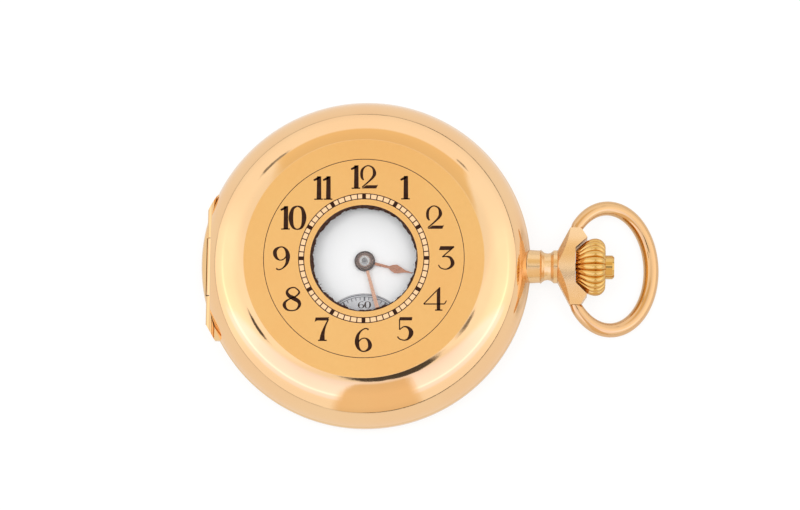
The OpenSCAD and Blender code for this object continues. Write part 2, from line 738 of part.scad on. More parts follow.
module seconds_hand() {
    color([0.75, 0.42, 0.28]) at(fourth_c) difference() {
        union() {
            disc(0.55, seconds_top + 0.3, seconds_top + 0.55);
            rotate(second_dir) translate([0, 0, seconds_top + 0.35]) linear_extrude(0.12)
                polygon([[-1.7, -0.12], [second_len, -0.05], [second_len, 0.05], [-1.7, 0.12]]);
        }
        disc(0.2, 0, case_t);
    }
}

// Motion works
cannon_r = 0.8;
hour_tube_r = 1.25;
center_top_r = 0.5;
module cannon_pinion() {
    color(steel) difference() {
        union() {
            pinion(cannon_teeth, m_motion, 0, recess_z + 0.1, motion_z + 0.4);
            disc(cannon_r, recess_z + 0.1, minute_z + 0.3);
        }
        disc(center_top_r, 0, case_t);
    }
}
minute_phase = mesh_phase(0, cannon_teeth, 0, minute_teeth);
module minute_wheel() {
    color(gilt) at(minute_c) difference() {
        union() {
            wheel(minute_teeth, m_motion, minute_phase, motion_z, 0.3, 5, 1.1, 0.6);
            pinion(minute_pinion_teeth, m_hour, 0, motion_z + 0.3 - eps, motion_z + 0.8);
        }
        disc(post_r + run_gap, 0, case_t);
    }
}
module hour_wheel() {
    color(gilt) difference() {
        union() {
            wheel(hour_teeth, m_hour, mesh_phase(180, minute_pinion_teeth, 0, hour_teeth),
                motion_z + 0.48, 0.22, 5, 1.7, 0.5);
            disc(hour_tube_r, motion_z + 0.48, hour_z + 0.25);
        }
        disc(cannon_r + 0.05, 0, case_t);
    }
}
module setting_wheel() {
    color(steel) at(setting_c) difference() {
        wheel(setting_teeth, m_motion, mesh_phase(0, minute_teeth, minute_phase, setting_teeth),
            motion_z, 0.3, 4, 1.1, 0.6);
        disc(post_r + run_gap, 0, case_t);
    }
}

// Keyless works
module winding_pinion() {
    color(steel) difference() {
        along_x(winding_x) rotate(90) linear_extrude(1.3) teeth_2d(16, 0.2125, 0, 0.4, 0.9, 1.2);
        along_x(0) cylinder(r = stem_r + run_gap, h = 60);
    }
}
module sliding_pinion() {
    color(steel) difference() {
        union() {
            along_x(sliding_x) cylinder(r = 1.25, h = sliding_len);
            along_x(sliding_x) rotate(90) linear_extrude(0.7) teeth_2d(14, 0.22, 0, 0.42, 0.9, 1.2);
            along_x(sliding_x + sliding_len - 0.6) cylinder(r = 1.6, h = 0.6);
        }
        translate([yoke_slot_x, 0, stem_z]) rotate([0, 90, 0]) difference() {
            cylinder(r = 2, h = 0.5, center = true);
            cylinder(r = 0.85, h = 1, center = true);
        }
        along_x(0) cylinder(r = stem_r + run_gap, h = 60);
    }
}
lever_t = 0.4;
lever_z = recess_z + 0.05;
setting_bridge_z = lever_z + lever_t + 0.05;
setting_bridge_t = 0.3;
setting_feet = [[lever_groove_x - 1.2, 4.6], [yoke_slot_x, -4.2]];
setting_screw_r = 0.3;
setting_foot_r = 0.7;
post_r = 0.35;
module bar_2d(a, b, ra, rb) {
    hull() {
        translate(a) circle(ra, $fn = 32);
        translate(b) circle(rb, $fn = 32);
    }
}
module setting_lever() {
    pin_at = [lever_groove_x, -0.55];
    color(steel) {
        difference() {
            translate([0, 0, lever_z]) linear_extrude(lever_t) bar_2d(lever_pivot, pin_at, 0.75, 0.35);
            at(lever_pivot) disc(post_r + run_gap, 0, case_t);
        }
        at(pin_at) disc(0.13, stem_z, lever_z + eps);
    }
}
module yoke() {
    pin_at = [yoke_slot_x, 1.09];
    color(steel) {
        difference() {
            translate([0, 0, lever_z]) linear_extrude(lever_t) bar_2d(yoke_pivot, pin_at, 0.75, 0.3);
            at(yoke_pivot) disc(post_r + run_gap, 0, case_t);
        }
        at(pin_at) disc(0.15, stem_z, lever_z + eps);
    }
}
module keyless_2d(inset) {
    intersection() {
        circle(movement_r - 0.3 - inset);
        translate([keyless_x + inset, -5.1 + inset]) square([9, 10.8 - 2 * inset]);
    }
}
module setting_bridge() {
    color(nickel) translate([0, 0, setting_bridge_z]) linear_extrude(setting_bridge_t) difference() {
        keyless_2d(0.1);
        translate(setting_c) circle(3.1);
        translate([winding_x - 0.2, -0.95]) square([1.7, 1.9]);
        for (p = [lever_pivot, yoke_pivot]) translate(p) circle(post_r + 0.02);
        for (p = setting_feet) translate(p) circle(setting_screw_r + 0.03);
    }
}
module setting_screws() {
    color(blue) mirror([0, 0, 1]) for (p = setting_feet) {
        screw(p, -(setting_bridge_z + setting_bridge_t + 0.25), 0.7, 0.25, setting_screw_r, 1.0);
    }
}
module crown_wheel() {
    color(steel) at(crown_wheel_c) difference() {
        union() {
            translate([0, 0, ratchet_z]) linear_extrude(ratchet_t)
                teeth_2d(crown_teeth, m_ratchet, winding_phase, 0.44, 0.9, 1.2);
            ring(contrate_r + 0.45, contrate_r - 0.45, ratchet_z + ratchet_t - eps, contrate_top - 0.25);
            for (i = [0 : 23]) {
                rotate(i * 15) translate([contrate_r - 0.4, -0.15, contrate_top - 0.26])
                    cube([0.8, 0.3, 0.26]);
            }
        }
        disc(crown_core_r + run_gap, 0, case_t);
    }
}
crown_core_r = 1.5;
winding_dir = atan2(-barrel_c[1], crown_wheel_c[0] - barrel_c[0]);
winding_phase = mesh_phase(winding_dir, ratchet_teeth, 0, crown_teeth);
module ratchet_wheel() {
    color(steel) at(barrel_c) difference() {
        translate([0, 0, ratchet_z]) linear_extrude(ratchet_t)
            teeth_2d(ratchet_teeth, m_ratchet, 0, 0.44, 0.9, 1.2);
        translate([0, 0, 1.0]) linear_extrude(5) square(1.7, center = true);
    }
}
click_dir = 118;
click_r = pitch_r(ratchet_teeth, m_ratchet) + 0.27;
click_tip = barrel_c + polar(click_r + 0.12, click_dir);
click_pivot = barrel_c + polar(click_r + 1.6, click_dir + 24);
module click() {
    color(steel) difference() {
        translate([0, 0, ratchet_z]) linear_extrude(ratchet_t) bar_2d(click_pivot, click_tip, 0.8, 0.06);
        at(click_pivot) disc(0.4 + run_gap, 0, case_t);
    }
}
module click_spring() {
    base = barrel_c + polar(click_r + 3.0, click_dir - 16);
    tip = click_tip + polar(0.75, click_dir + 2);
    color(blue) {
        translate([0, 0, ratchet_z + 0.1]) linear_extrude(ratchet_t - 0.1) bar_2d(base, tip, 0.12, 0.1);
        at(base) disc(0.6, ratchet_z + 0.1, bridge_lo);
    }
}

// Plate and bridges
bridge_split = 1.75;
split_dir = 45;
module half_2d(dir, offset_r, outside) {
    rotate(dir) translate([outside ? offset_r : offset_r - 60, -30]) square([60, 60]);
}
bridge_foot_r = 1.5;
barrel_feet = [polar(18.6, 100), polar(19.0, 69), polar(18.9, 22)];
train_feet = [polar(18.6, -52), polar(18.6, -73), polar(19, -97)];
cock_foot = polar(17.3, 168);
cock_foot_r = 2.7;
screw_r = 0.45;
bridge_screw_head = 1.0;
bridge_screw_len = 3.9;
cock_screw_head = 1.15;
cock_screw_len = 5.1;
crown_block_r = 5.2;
module barrel_bridge() {
    color(nickel) difference() {
        union() {
            translate([0, 0, bridge_lo]) linear_extrude(bridge_t) intersection() {
                circle(bridge_r);
                half_2d(split_dir, bridge_split + 0.15, true);
            }
            for (p = barrel_feet) at(p) disc(bridge_foot_r, bridge_hi - eps, plate_lo);
            at(crown_wheel_c) disc(crown_core_r, ratchet_z - 0.02, bridge_hi);
            translate([0, 0, bridge_hi - eps]) linear_extrude(plate_lo - bridge_hi + eps) intersection() {
                circle(bridge_r);
                difference() {
                    translate(crown_wheel_c) circle(crown_block_r);
                    translate(barrel_c) circle(barrel_tip_r + 0.3);
                }
            }
        }
        for (p = barrel_feet) screw_hole(p, screw_r, 0, plate_lo + 1);
        at(crown_wheel_c) ring(contrate_r + 0.65, crown_core_r, ratchet_z, contrate_top + 0.1);
        at(crown_wheel_c) disc(0.48, 0, contrate_top);
        translate([keyless_x, -2.1, contrate_top]) cube([winding_x + 1.5 - keyless_x, 4.2, 4]);
        along_x(winding_x) cylinder(r = stem_r + run_gap, h = 10);
        at(barrel_c) disc(arbor_collar_r + run_gap, 0, plate_lo);
        screw_hole(click_pivot, 0.37, bridge_lo - 1, bridge_hi + 1);
        for (a = case_screw_dirs) at(polar(case_screw_r, a)) disc(case_screw_clear, 0, plate_lo);
    }
}
module train_outline() {
    difference() {
        intersection() {
            circle(bridge_r);
            half_2d(split_dir, bridge_split - 0.15, false);
            half_2d(165, 7.6, false);
        }
        translate(balance_c) circle(balance_r + 0.5);
        translate(polar(case_screw_r, case_screw_dirs[1])) circle(case_screw_clear);
    }
}
module train_bridge() {
    color(nickel) difference() {
        union() {
            translate([0, 0, bridge_lo]) linear_extrude(bridge_t) train_outline();
            for (p = train_feet) at(p) disc(bridge_foot_r, bridge_hi - eps, plate_lo);
        }
        for (p = train_feet) screw_hole(p, screw_r, 0, plate_lo + 1);
        for (c = [third_c, fourth_c, escape_c]) at(c) jewel_seat(bridge_lo + 0.1);
        disc(0.75, bridge_lo - 1, bridge_hi + 1);
    }
}
module jewel_seat(z) {
    disc(jewel_r, z, z + jewel_t);
    disc(jewel_r - 0.25, z - 2, z + 2);
}
module mainplate() {
    color(gilt) difference() {
        disc(movement_r, plate_lo, plate_hi);
        at(barrel_c) disc(barrel_tip_r + 0.2, plate_lo - 1, plate_lo + 0.85);
        at(barrel_c) disc(barrel_pivot_r + run_gap, 0, plate_lo + 1.3);
        disc(0.7, 0, case_t);
        disc(4.4, recess_z, case_t);
        at(minute_c) ring(4.1, post_r, recess_z, case_t);
        at(setting_c) ring(3.1, post_r, recess_z, case_t);
        for (p = setting_feet) {
            at(p) disc(setting_foot_r + 0.1, setting_bridge_z, case_t);
            screw_hole(p, setting_screw_r, setting_bridge_z - 1.1, case_t);
        }
        translate([0, 0, recess_z]) linear_extrude(4) difference() {
            keyless_2d(0);
            for (p = [lever_pivot, yoke_pivot]) translate(p) circle(post_r);
            for (p = setting_feet) translate(p) circle(setting_foot_r);
        }
        translate([keyless_x, -2.1, 0]) cube([winding_x + 1.5 - keyless_x, 4.2, case_t]);
        translate([lever_groove_x - 0.4, -1.2, plate_lo - 1]) cube([pull + 0.8, 1.2, 4]);
        along_x(winding_x - 5) cylinder(r = stem_r + run_gap, h = 15);
        for (p = concat(barrel_feet, train_feet)) screw_hole(p, screw_r, 0, plate_lo + 1.2);
        screw_hole(cock_foot, screw_r, 0, plate_lo + 1.2);
        screw_hole(pallet_foot, 0.3, 0, plate_lo + 1.0);
        for (a = case_screw_dirs) at(polar(case_screw_r, a)) disc(0.48, 0, plate_lo + 1.4);
        for (a = [45, 165, 285]) at(polar(dial_foot_r, a)) disc(0.43, plate_hi - 1.1, case_t);
        for (c = [third_c, escape_c, pallet_c, balance_c]) {
            at(c) disc(jewel_r, plate_lo - 1, plate_lo + jewel_t);
            at(c) disc(0.45, plate_lo, plate_lo + 1);
        }
        at(fourth_c) disc(fourth_staff_r + run_gap, 0, case_t);
    }
}
module balance_cock() {
    color(nickel) difference() {
        union() {
            translate([0, 0, cock_lo]) linear_extrude(cock_t)
                bar_2d(cock_foot, balance_c, cock_foot_r, 1.7);
            at(cock_foot) disc(cock_foot_r - 0.1, cock_lo + cock_t - 0.3, plate_lo);
            at(balance_c + polar(hairspring_r + 0.33, cock_dir)) disc(0.25, cock_lo, hairspring_z + 0.15);
        }
        at(balance_c) jewel_seat(cock_lo + cock_t - jewel_t - 0.05);
        screw_hole(cock_foot, screw_r, 0, plate_lo + 1);
    }
}
cock_lo = bridge_lo - 1.35;
cock_t = 0.6;
cock_dir = atan2(cock_foot[1] - balance_c[1], cock_foot[0] - balance_c[0]);
pallet_foot = pallet_c + polar(3.3, 215);
module pallet_cock() {
    color(nickel) difference() {
        union() {
            translate([0, 0, bridge_hi - 0.35]) linear_extrude(0.35)
                bar_2d(pallet_foot, pallet_c, 0.95, 0.9);
            at(pallet_foot) disc(0.88, bridge_hi - 0.3, plate_lo);
        }
        at(pallet_c) disc(pivot_r + 0.03, 0, plate_lo);
        screw_hole(pallet_foot, 0.3, 0, plate_lo + 1);
    }
}
module jewel(c, z) {
    color(ruby) at(c) ring(jewel_r, pivot_r + 0.03, z, z + jewel_t);
}
module jewels() {
    for (c = [third_c, fourth_c, escape_c]) jewel(c, bridge_lo + 0.1);
    for (c = [third_c, escape_c, pallet_c, balance_c]) jewel(c, plate_lo);
    jewel(balance_c, cock_lo + cock_t - jewel_t - 0.05);
}
module bridge_screws() {
    color(blue) {
        for (p = concat(barrel_feet, train_feet))
            screw(p, bridge_lo - 0.35, bridge_screw_head, 0.35, screw_r, bridge_screw_len);
        screw(cock_foot, cock_lo - 0.3, cock_screw_head, 0.3, screw_r, cock_screw_len);
        screw(pallet_foot, bridge_hi - 0.6, 0.6, 0.25, 0.3, 3.2);
    }
}
module wheel_screws() {
    color(blue) {
        screw(crown_wheel_c, ratchet_z - 0.3, 1.9, 0.28, 0.45, 1.2);
        screw(click_pivot, ratchet_z - 0.26, 0.75, 0.24, 0.36, 1.2);
    }
}
module ratchet_screw() {
    color(blue) screw(barrel_c, ratchet_z - 0.3, 1.5, 0.28, 0.4, 1.6);
}

// Barrel
drum_t = 0.25;
module barrel() {
    color(gilt) at(barrel_c) difference() {
        union() {
            disc(barrel_r, barrel_z, barrel_z + barrel_h);
            translate([0, 0, barrel_z]) linear_extrude(0.35)
                teeth_2d(barrel_teeth, m_barrel, 0, 0.44, 0.9, 1.25);
        }
        disc(barrel_r - 0.4, barrel_z + drum_t, barrel_z + barrel_h + 1);
        disc(barrel_pivot_r + run_gap, 0, case_t);
    }
}
module barrel_cover() {
    top = barrel_z + barrel_h;
    color(gilt) at(barrel_c) ring(barrel_r - 0.41, barrel_pivot_r + run_gap, top - 0.25, top);
}
module mainspring() {
    color(steel) at(barrel_c)
        ribbon(2.3, barrel_r - 1.15, mainspring_turns, 0.18, barrel_h - 0.7, barrel_z + 0.35);
}
module barrel_arbor() {
    color(steel) at(barrel_c) difference() {
        union() {
            disc(2.1, barrel_z + drum_t + 0.08, barrel_z + barrel_h - 0.33);
            disc(barrel_pivot_r, barrel_z - 0.05, plate_lo + 1.2);
            disc(0.6, ratchet_z + ratchet_t, barrel_z);
            disc(arbor_collar_r, ratchet_z + ratchet_t, bridge_hi + 0.05);
            translate([0, 0, ratchet_z]) linear_extrude(1) square(1.66, center = true);
        }
        disc(0.42, 0, ratchet_z + 1.6);
    }
}

// Going train
center_phase = mesh_phase(barrel_dir + 180, barrel_teeth, 0, center_pinion_teeth);
module center_wheel() {
    color(gilt) {
        difference() {
            wheel(center_teeth, m_barrel, 0, center_z, wheel_t, 5, 1.5, 0.7);
            disc(0.5, 0, case_t);
        }
        difference() {
            pinion(center_pinion_teeth, m_barrel, center_phase, center_z + wheel_t, barrel_z + 0.45);
            disc(0.5, 0, case_t);
        }
    }
    color(steel) {
        disc(0.65, center_z - 0.15, plate_lo + 0.5);
        disc(0.5, bridge_lo + 0.1, minute_z + 0.62);
    }
}
third_dir = atan2(third_c[1], third_c[0]);
third_phase = mesh_phase(third_dir, center_teeth, 0, third_pinion_teeth);
module third_wheel() {
    color(gilt) at(third_c) {
        arbor(bridge_lo + 0.1, plate_lo + 0.28, staff_r, 0.5);
        pinion(third_pinion_teeth, m_barrel, third_phase, center_z - 0.05, center_z + 0.45);
        wheel(third_teeth, m_third, 0, third_z, wheel_t, 5, 0.9, 0.5);
    }
}
fourth_dir = atan2(fourth_c[1] - third_c[1], fourth_c[0] - third_c[0]);
fourth_phase = mesh_phase(fourth_dir, third_teeth, 0, fourth_pinion_teeth);
module fourth_wheel() {
    color(gilt) at(fourth_c) {
        disc(pivot_r, bridge_lo + 0.1, bridge_hi);
        disc(fourth_staff_r, bridge_hi + 0.1, dial_lo);
        disc(pivot_r, bridge_hi - eps, bridge_hi + 0.11);
        disc(0.2, dial_lo - eps, seconds_top + 0.6);
        pinion(fourth_pinion_teeth, m_third, fourth_phase, third_z - 0.15, third_z + 0.4);
        wheel(fourth_teeth, m_fourth, 0, fourth_z, wheel_t, 5, 0.8, 0.45);
    }
}
escape_phase = mesh_phase(escape_dir, fourth_teeth, 0, escape_pinion_teeth);
module escape_wheel() {
    color(steel) at(escape_c) {
        arbor(bridge_lo + 0.1, plate_lo + 0.28, 0.25, 0.5);
        pinion(escape_pinion_teeth, m_fourth, escape_phase, fourth_z - 0.1, fourth_z + 0.4);
        translate([0, 0, escape_z]) linear_extrude(wheel_t) difference() {
            polygon([for (i = [0 : escape_teeth - 1]) for (p = [[2.25, -6], [escape_r, 0], [escape_r, 3],
                [2.25, 4]]) polar(p[0], i * 360 / escape_teeth + p[1])]);
            difference() {
                circle(1.9);
                circle(0.7);
                for (i = [0 : 3]) rotate(i * 90) translate([0, -0.2]) square([2.5, 0.4]);
            }
        }
    }
}
module pallet_fork() {
    color(steel) at(pallet_c) {
        arbor(bridge_hi - 0.35, plate_lo + 0.28, 0.25, 0.36);
        rotate(balance_dir) translate([0, 0, escape_z]) linear_extrude(wheel_t) {
            polygon([[-0.5, -0.3], [3.9, -0.18], [4.15, -0.35], [4.15, -0.14], [3.85, -0.1], [3.85, 0.1],
                [4.15, 0.14], [4.15, 0.35], [3.9, 0.18], [-0.5, 0.3]]);
            for (s = [-1, 1]) polygon([[0.3, 0], [0.3, s * 0.4], [-0.9, s * 1.95], [-1.25, s * 1.75],
                [-1.0, s * 1.55], [-0.4, s * 0.3], [-0.5, 0]]);
        }
    }
}
module balance_wheel() {
    color(gilt) at(balance_c) {
        ring(balance_r, balance_r - 0.75, balance_z - 0.05, balance_z + 0.5);
        translate([0, 0, balance_z + 0.1]) linear_extrude(0.22) {
            circle(1.0);
            square([2 * balance_r - 0.5, 0.8], center = true);
        }
        for (i = [0 : 7]) {
            rotate(22.5 + i * 45) translate([balance_r - 0.1, 0, balance_z + 0.22]) rotate([0, 90, 0])
                cylinder(r = 0.24, h = 0.45);
        }
    }
    color(steel) at(balance_c) {
        arbor(cock_lo + 0.15, plate_lo + 0.28, 0.3, 0.45);
        disc(0.55, hairspring_z, balance_z + 0.12);
        disc(1.5, escape_z - 0.35, escape_z - 0.1);
        translate(polar(1.2, balance_dir + 180)) disc(0.13, escape_z - 0.11, escape_z + wheel_t);
    }
}
hairspring_z = balance_z - 0.24;
hairspring_r = 3.4;
module hairspring() {
    color(blue) at(balance_c) rotate(cock_dir - hairspring_turns * 360)
        ribbon(0.7, hairspring_r, hairspring_turns, 0.08, 0.15, hairspring_z);
}
module regulator() {
    color(steel) at(balance_c) translate([0, 0, cock_lo - 0.22]) linear_extrude(0.2) difference() {
        union() {
            circle(1.3);
            rotate(150) polygon([[0, -0.35], [4.6, -0.12], [4.6, 0.12], [0, 0.35]]);
        }
        circle(0.8);
    }
}

case_middle();
pendant_neck();
pendant_head();
front_lid();
lid_crystal();
inner_bezel();
crystal();
back_cover();
cuvette();
lid_hinge_place() hinge_pin(lid_axis, hinge_pin_r, lid_pin_len);  // lid_hinge_pin
hinge_pin(back_axis, hinge_pin_r, back_pin_len);  // back_hinge_pin
hinge_pin(cuvette_axis, cuvette_pin_r, cuvette_hinge_len);  // cuvette_hinge_pin
lid_spring();
lock_spring();
case_screws();
bow();
crown();
push_piece();
stem();
dial();
seconds_dial();
hour_hand();
minute_hand();
seconds_hand();
cannon_pinion();
minute_wheel();
hour_wheel();
setting_wheel();
winding_pinion();
sliding_pinion();
setting_lever();
yoke();
setting_bridge();
crown_wheel();
ratchet_wheel();
click();
click_spring();
mainplate();
barrel_bridge();
train_bridge();
balance_cock();
pallet_cock();
barrel();
barrel_cover();
mainspring();
barrel_arbor();
center_wheel();
third_wheel();
fourth_wheel();
escape_wheel();
pallet_fork();
balance_wheel();
hairspring();
regulator();
jewels();
bridge_screws();
wheel_screws();
ratchet_screw();
setting_screws();
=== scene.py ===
"""A gold half-hunter pocket watch lying on its back, dressed for a studio photograph."""
import json
import math
import bpy
import bmesh
from mathutils import Matrix, Vector


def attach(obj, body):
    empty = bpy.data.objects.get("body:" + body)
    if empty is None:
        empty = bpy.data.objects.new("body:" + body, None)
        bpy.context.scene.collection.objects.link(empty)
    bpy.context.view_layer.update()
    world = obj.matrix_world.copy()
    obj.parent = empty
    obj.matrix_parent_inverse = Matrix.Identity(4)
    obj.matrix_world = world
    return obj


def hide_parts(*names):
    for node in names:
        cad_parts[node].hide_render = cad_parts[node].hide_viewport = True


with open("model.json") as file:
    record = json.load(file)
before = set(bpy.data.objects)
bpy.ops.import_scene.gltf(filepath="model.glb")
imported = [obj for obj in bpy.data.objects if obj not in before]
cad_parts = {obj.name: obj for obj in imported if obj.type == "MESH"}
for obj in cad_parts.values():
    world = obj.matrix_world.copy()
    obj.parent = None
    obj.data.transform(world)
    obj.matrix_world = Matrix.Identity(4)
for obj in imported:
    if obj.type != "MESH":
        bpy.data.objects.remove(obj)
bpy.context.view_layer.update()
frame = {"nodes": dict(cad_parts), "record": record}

# The part's own sizes in millimetres, as in its source: heights over the ground, radii and places.
MM = 0.001
STEM_Z = 5.8
CASE_R = 25.9
LID_Z = 13.0
LID_FLAT_R = 18.8
DIAL_Z = 9.2
SECONDS_Z = 8.9
SECONDS_C = (0.0, -12.2)


# Node trees ------------------------------------------------------------------------------------

class Nodes:
    """A node tree with short ways to add and link its nodes."""

    def __init__(self, tree):
        self.tree = tree
        self.coord = None

    def feed(self, value, socket):
        """Writes a number or a colour on an input, or links a socket to it."""
        if isinstance(value, (int, float, tuple)):
            socket.default_value = value
        else:
            self.tree.links.new(value, socket)

    def add(self, kind, **values):
        """A node with its inputs fed and its properties set."""
        n = self.tree.nodes.new(kind)
        for key, value in values.items():
            if key in n.inputs:
                self.feed(value, n.inputs[key])
            else:
                setattr(n, key, value)
        return n

    def where(self, kind="Object"):
        """The object's own coordinates; "Generated" is the direction in a world's tree."""
        if self.coord is None:
            self.coord = self.add("ShaderNodeTexCoord")
        return self.coord.outputs[kind]

    def stretched(self, scale, turn=0.0):
        """The object's coordinates stretched and turned, for a grain."""
        return self.add("ShaderNodeMapping", Vector=self.where(), Scale=scale,
                        Rotation=(0, 0, turn)).outputs["Vector"]

    def radius(self):
        """The distance from the upright axis through the object's origin."""
        split = self.add("ShaderNodeSeparateXYZ", Vector=self.where())
        flat = self.add("ShaderNodeCombineXYZ", X=split.outputs["X"], Y=split.outputs["Y"])
        length = self.add("ShaderNodeVectorMath", operation="LENGTH")
        self.feed(flat.outputs[0], length.inputs[0])
        return length.outputs["Value"]

    def noise(self, scale, detail, rough=0.5, point=None):
        """A noise texture's level over the object, or over the given coordinates."""
        return self.add("ShaderNodeTexNoise", Vector=point or self.where(), Scale=scale, Detail=detail,
                        Roughness=rough).outputs["Fac"]

    def span(self, value, low, high, a, b, smooth=False):
        """A socket's low..high turned into a..b, in a smooth step where asked."""
        n = self.add("ShaderNodeMapRange", interpolation_type="SMOOTHSTEP" if smooth else "LINEAR")
        for key, number in (("From Min", low), ("From Max", high), ("To Min", a), ("To Max", b)):
            n.inputs[key].default_value = number
        self.feed(value, n.inputs["Value"])
        return n.outputs["Result"]

    def math(self, operation, a, b):
        """A math node's result on two sockets or numbers."""
        n = self.add("ShaderNodeMath", operation=operation)
        self.feed(a, n.inputs[0])
        self.feed(b, n.inputs[1])
        return n.outputs[0]

    def times(self, *factors):
        """The product of several sockets or numbers."""
        out = factors[0]
        for factor in factors[1:]:
            out = self.math("MULTIPLY", out, factor)
        return out

    def inverse(self, mask):
        """One minus a mask."""
        return self.math("SUBTRACT", 1.0, mask)

    def tones(self, value, stops):
        """A colour curve through (position, colour) stops."""
        n = self.add("ShaderNodeValToRGB", Fac=value)
        elements = n.color_ramp.elements
        for i, (position, color) in enumerate(stops):
            element = elements[i] if i < 2 else elements.new(position)
            element.position = position
            element.color = (*color, 1)
        return n.outputs["Color"]

    def levels(self, value, stops):
        """A curve through (position, level) stops; levels may be up to 2."""
        return self.times(self.tones(value, [(position, [level / 2] * 3) for position, level in stops]), 2.0)

    def mix(self, factor, a, b, **values):
        """A mix of two colours or sockets."""
        n = self.add("ShaderNodeMix", data_type="RGBA", **values)
        for value, index in ((factor, 0), (a, 6), (b, 7)):
            self.feed(value, n.inputs[index])
        return n.outputs[2]

    def bump(self, value, strength, distance, under=None):
        """A bumped normal, laid over another one where given."""
        n = self.add("ShaderNodeBump", Height=value, Strength=strength, Distance=distance)
        if under:
            self.feed(under, n.inputs["Normal"])
        return n.outputs["Normal"]


class Look(Nodes):
    """A material in the making, round its Principled shader."""

    def __init__(self, name):
        self.material = bpy.data.materials.new(name)
        self.material.use_nodes = True
        super().__init__(self.material.node_tree)
        self.shader = self.tree.nodes["Principled BSDF"]

    def made(self, inputs):
        """The material, with these values or sockets on its shader."""
        for name, value in inputs.items():
            self.feed(value, self.shader.inputs[name])
        return self.material


# Materials -------------------------------------------------------------------------------------
# Distances of bumps are in metres, as the nodes take them.

def gold_material(name, color, rough):
    """Polished gold with a faint orange-peel, fine hairlines, dulled patches and a colour drift."""
    look = Look(name)
    pinker = (color[0], color[1] * 0.9755, color[2] * 1.042)
    hairlines = look.bump(look.noise(1.0, 2.0, point=look.stretched((300, 9000, 3000), 0.6)), 0.035, 0.00002)
    return look.made({
        "Base Color": look.tones(look.noise(60.0, 3.0, 0.6), [(0.38, color), (0.68, pinker)]),
        "Roughness": look.span(look.noise(900.0, 4.0, 0.7), 0.3, 0.75, rough, rough + 0.07),
        "Normal": look.bump(look.noise(110.0, 1.0), 0.12, 0.00012, hairlines),
        "Metallic": 1.0})


def metal_material(name, color, rough, grain=(400, 400, 400), bump_strength=0.1, drift=0.12):
    """Plated or steel parts with a directional grain and uneven polish."""
    look = Look(name)
    level = look.noise(6.0, 4.0, point=look.stretched(grain))
    darker = [c * (1 - drift) for c in color]
    paler = [min(1, c * (1 + drift)) for c in color]
    return look.made({
        "Base Color": look.tones(level, [(0, darker), (1, paler)]),
        "Roughness": look.span(level, 0.3, 0.7, rough, rough + 0.15),
        "Normal": look.bump(level, bump_strength, 0.00003),
        "Metallic": 1.0})


def striped_nickel():
    """Nickel bridges with the broad waves of a striped finish."""
    look = Look("nickel_striped")
    wave = look.add("ShaderNodeTexWave", Vector=look.where(), Scale=210.0, Distortion=0.3)
    wave.bands_direction = "DIAGONAL"
    level = wave.outputs["Fac"]
    return look.made({
        "Base Color": look.tones(level, [(0, (0.46, 0.45, 0.42)), (1, (0.66, 0.64, 0.60))]),
        "Roughness": look.span(level, 0, 1, 0.16, 0.32),
        "Normal": look.bump(level, 0.25, 0.00003),
        "Metallic": 1.0})


def enamel_material(name, color):
    """Fired enamel with a faint unevenness under a glassy skin."""
    look = Look(name)
    level = look.noise(180.0, 3.0)
    return look.made({
        "Base Color": look.tones(level, [(0, [c * 0.97 for c in color]), (1, color)]),
        "Normal": look.bump(level, 0.05, 0.00002),
        "Roughness": 0.14,
        "IOR": 1.5})


def glass_material(name, alpha):
    """Clear glass, thin enough that it only adds a faint sheen over what is under it."""
    look = Look(name)
    return look.made({
        "Roughness": look.span(look.noise(240.0, 3.0), 0.35, 0.8, 0.02, 0.09),
        "Base Color": (0.93, 0.95, 1.0, 1),
        "Alpha": alpha,
        "IOR": 1.5})


def paint_material(name, color, speckle):
    """Enamel paint filled into engraved lines, a little worn; the brown one also paints the dark ring of
    painted shade round the window.
    """
    look = Look(name)
    level = look.noise(2500.0, 3.0)
    worn = [min(1, c + 0.05 * speckle) for c in color]
    return look.made({
        "Base Color": look.tones(level, [(0.35, color), (0.85, worn)]),
        "Roughness": look.span(level, 0.3, 0.7, 0.4, 0.65),
        "Specular IOR Level": 0.06})


def lid_material(name, face_color, shoulder_highlight_color):
    """The lid: an even satin face inside the crease and a polished shoulder outside it; the shoulder's paler
    colour is a painted reflection.
    """
    look = Look(name)
    outside = look.span(look.radius(), (LID_FLAT_R - 0.10) * MM, (LID_FLAT_R + 0.03) * MM, 0, 1)
    cloud = look.noise(70.0, 3.0, 0.6)
    # Face and shoulder are the same gold; the shoulder's paler copy is a painted reflection.
    colors = [look.tones(cloud, [(0.36, color), (0.68, (color[0], color[1] * 0.955, color[2] * 0.93))])
              for color in (face_color, shoulder_highlight_color)]
    fine = look.noise(1400.0, 4.0, 0.75)
    finish = look.add("ShaderNodeMix", Factor=outside, A=look.span(fine, 0.3, 0.75, 0.14, 0.26),
                      B=look.span(fine, 0.3, 0.75, 0.035, 0.07))
    return look.made({
        "Base Color": look.mix(outside, *colors),
        "Roughness": finish.outputs["Result"],
        "Normal": look.bump(look.noise(110.0, 1.0), 0.10, 0.00012, look.bump(fine, 0.08, 0.00002)),
        "Metallic": 1.0})


def turned_material(name, bands):
    """Metal coloured by the distance from the watch's centre; bands are (radius in mm below 2, colour)."""
    look = Look(name)
    rings = look.tones(look.span(look.radius(), 0, 2 * MM, 0, 1), [(r / 2, tone) for r, tone in bands])
    drift = look.noise(900.0, 3.0)
    return look.made({
        "Base Color": look.mix(1.0, rings, look.span(drift, 0.3, 0.7, 0.9, 1.06), blend_type="MULTIPLY"),
        "Roughness": look.span(drift, 0.3, 0.7, 0.22, 0.34),
        "Metallic": 1.0})


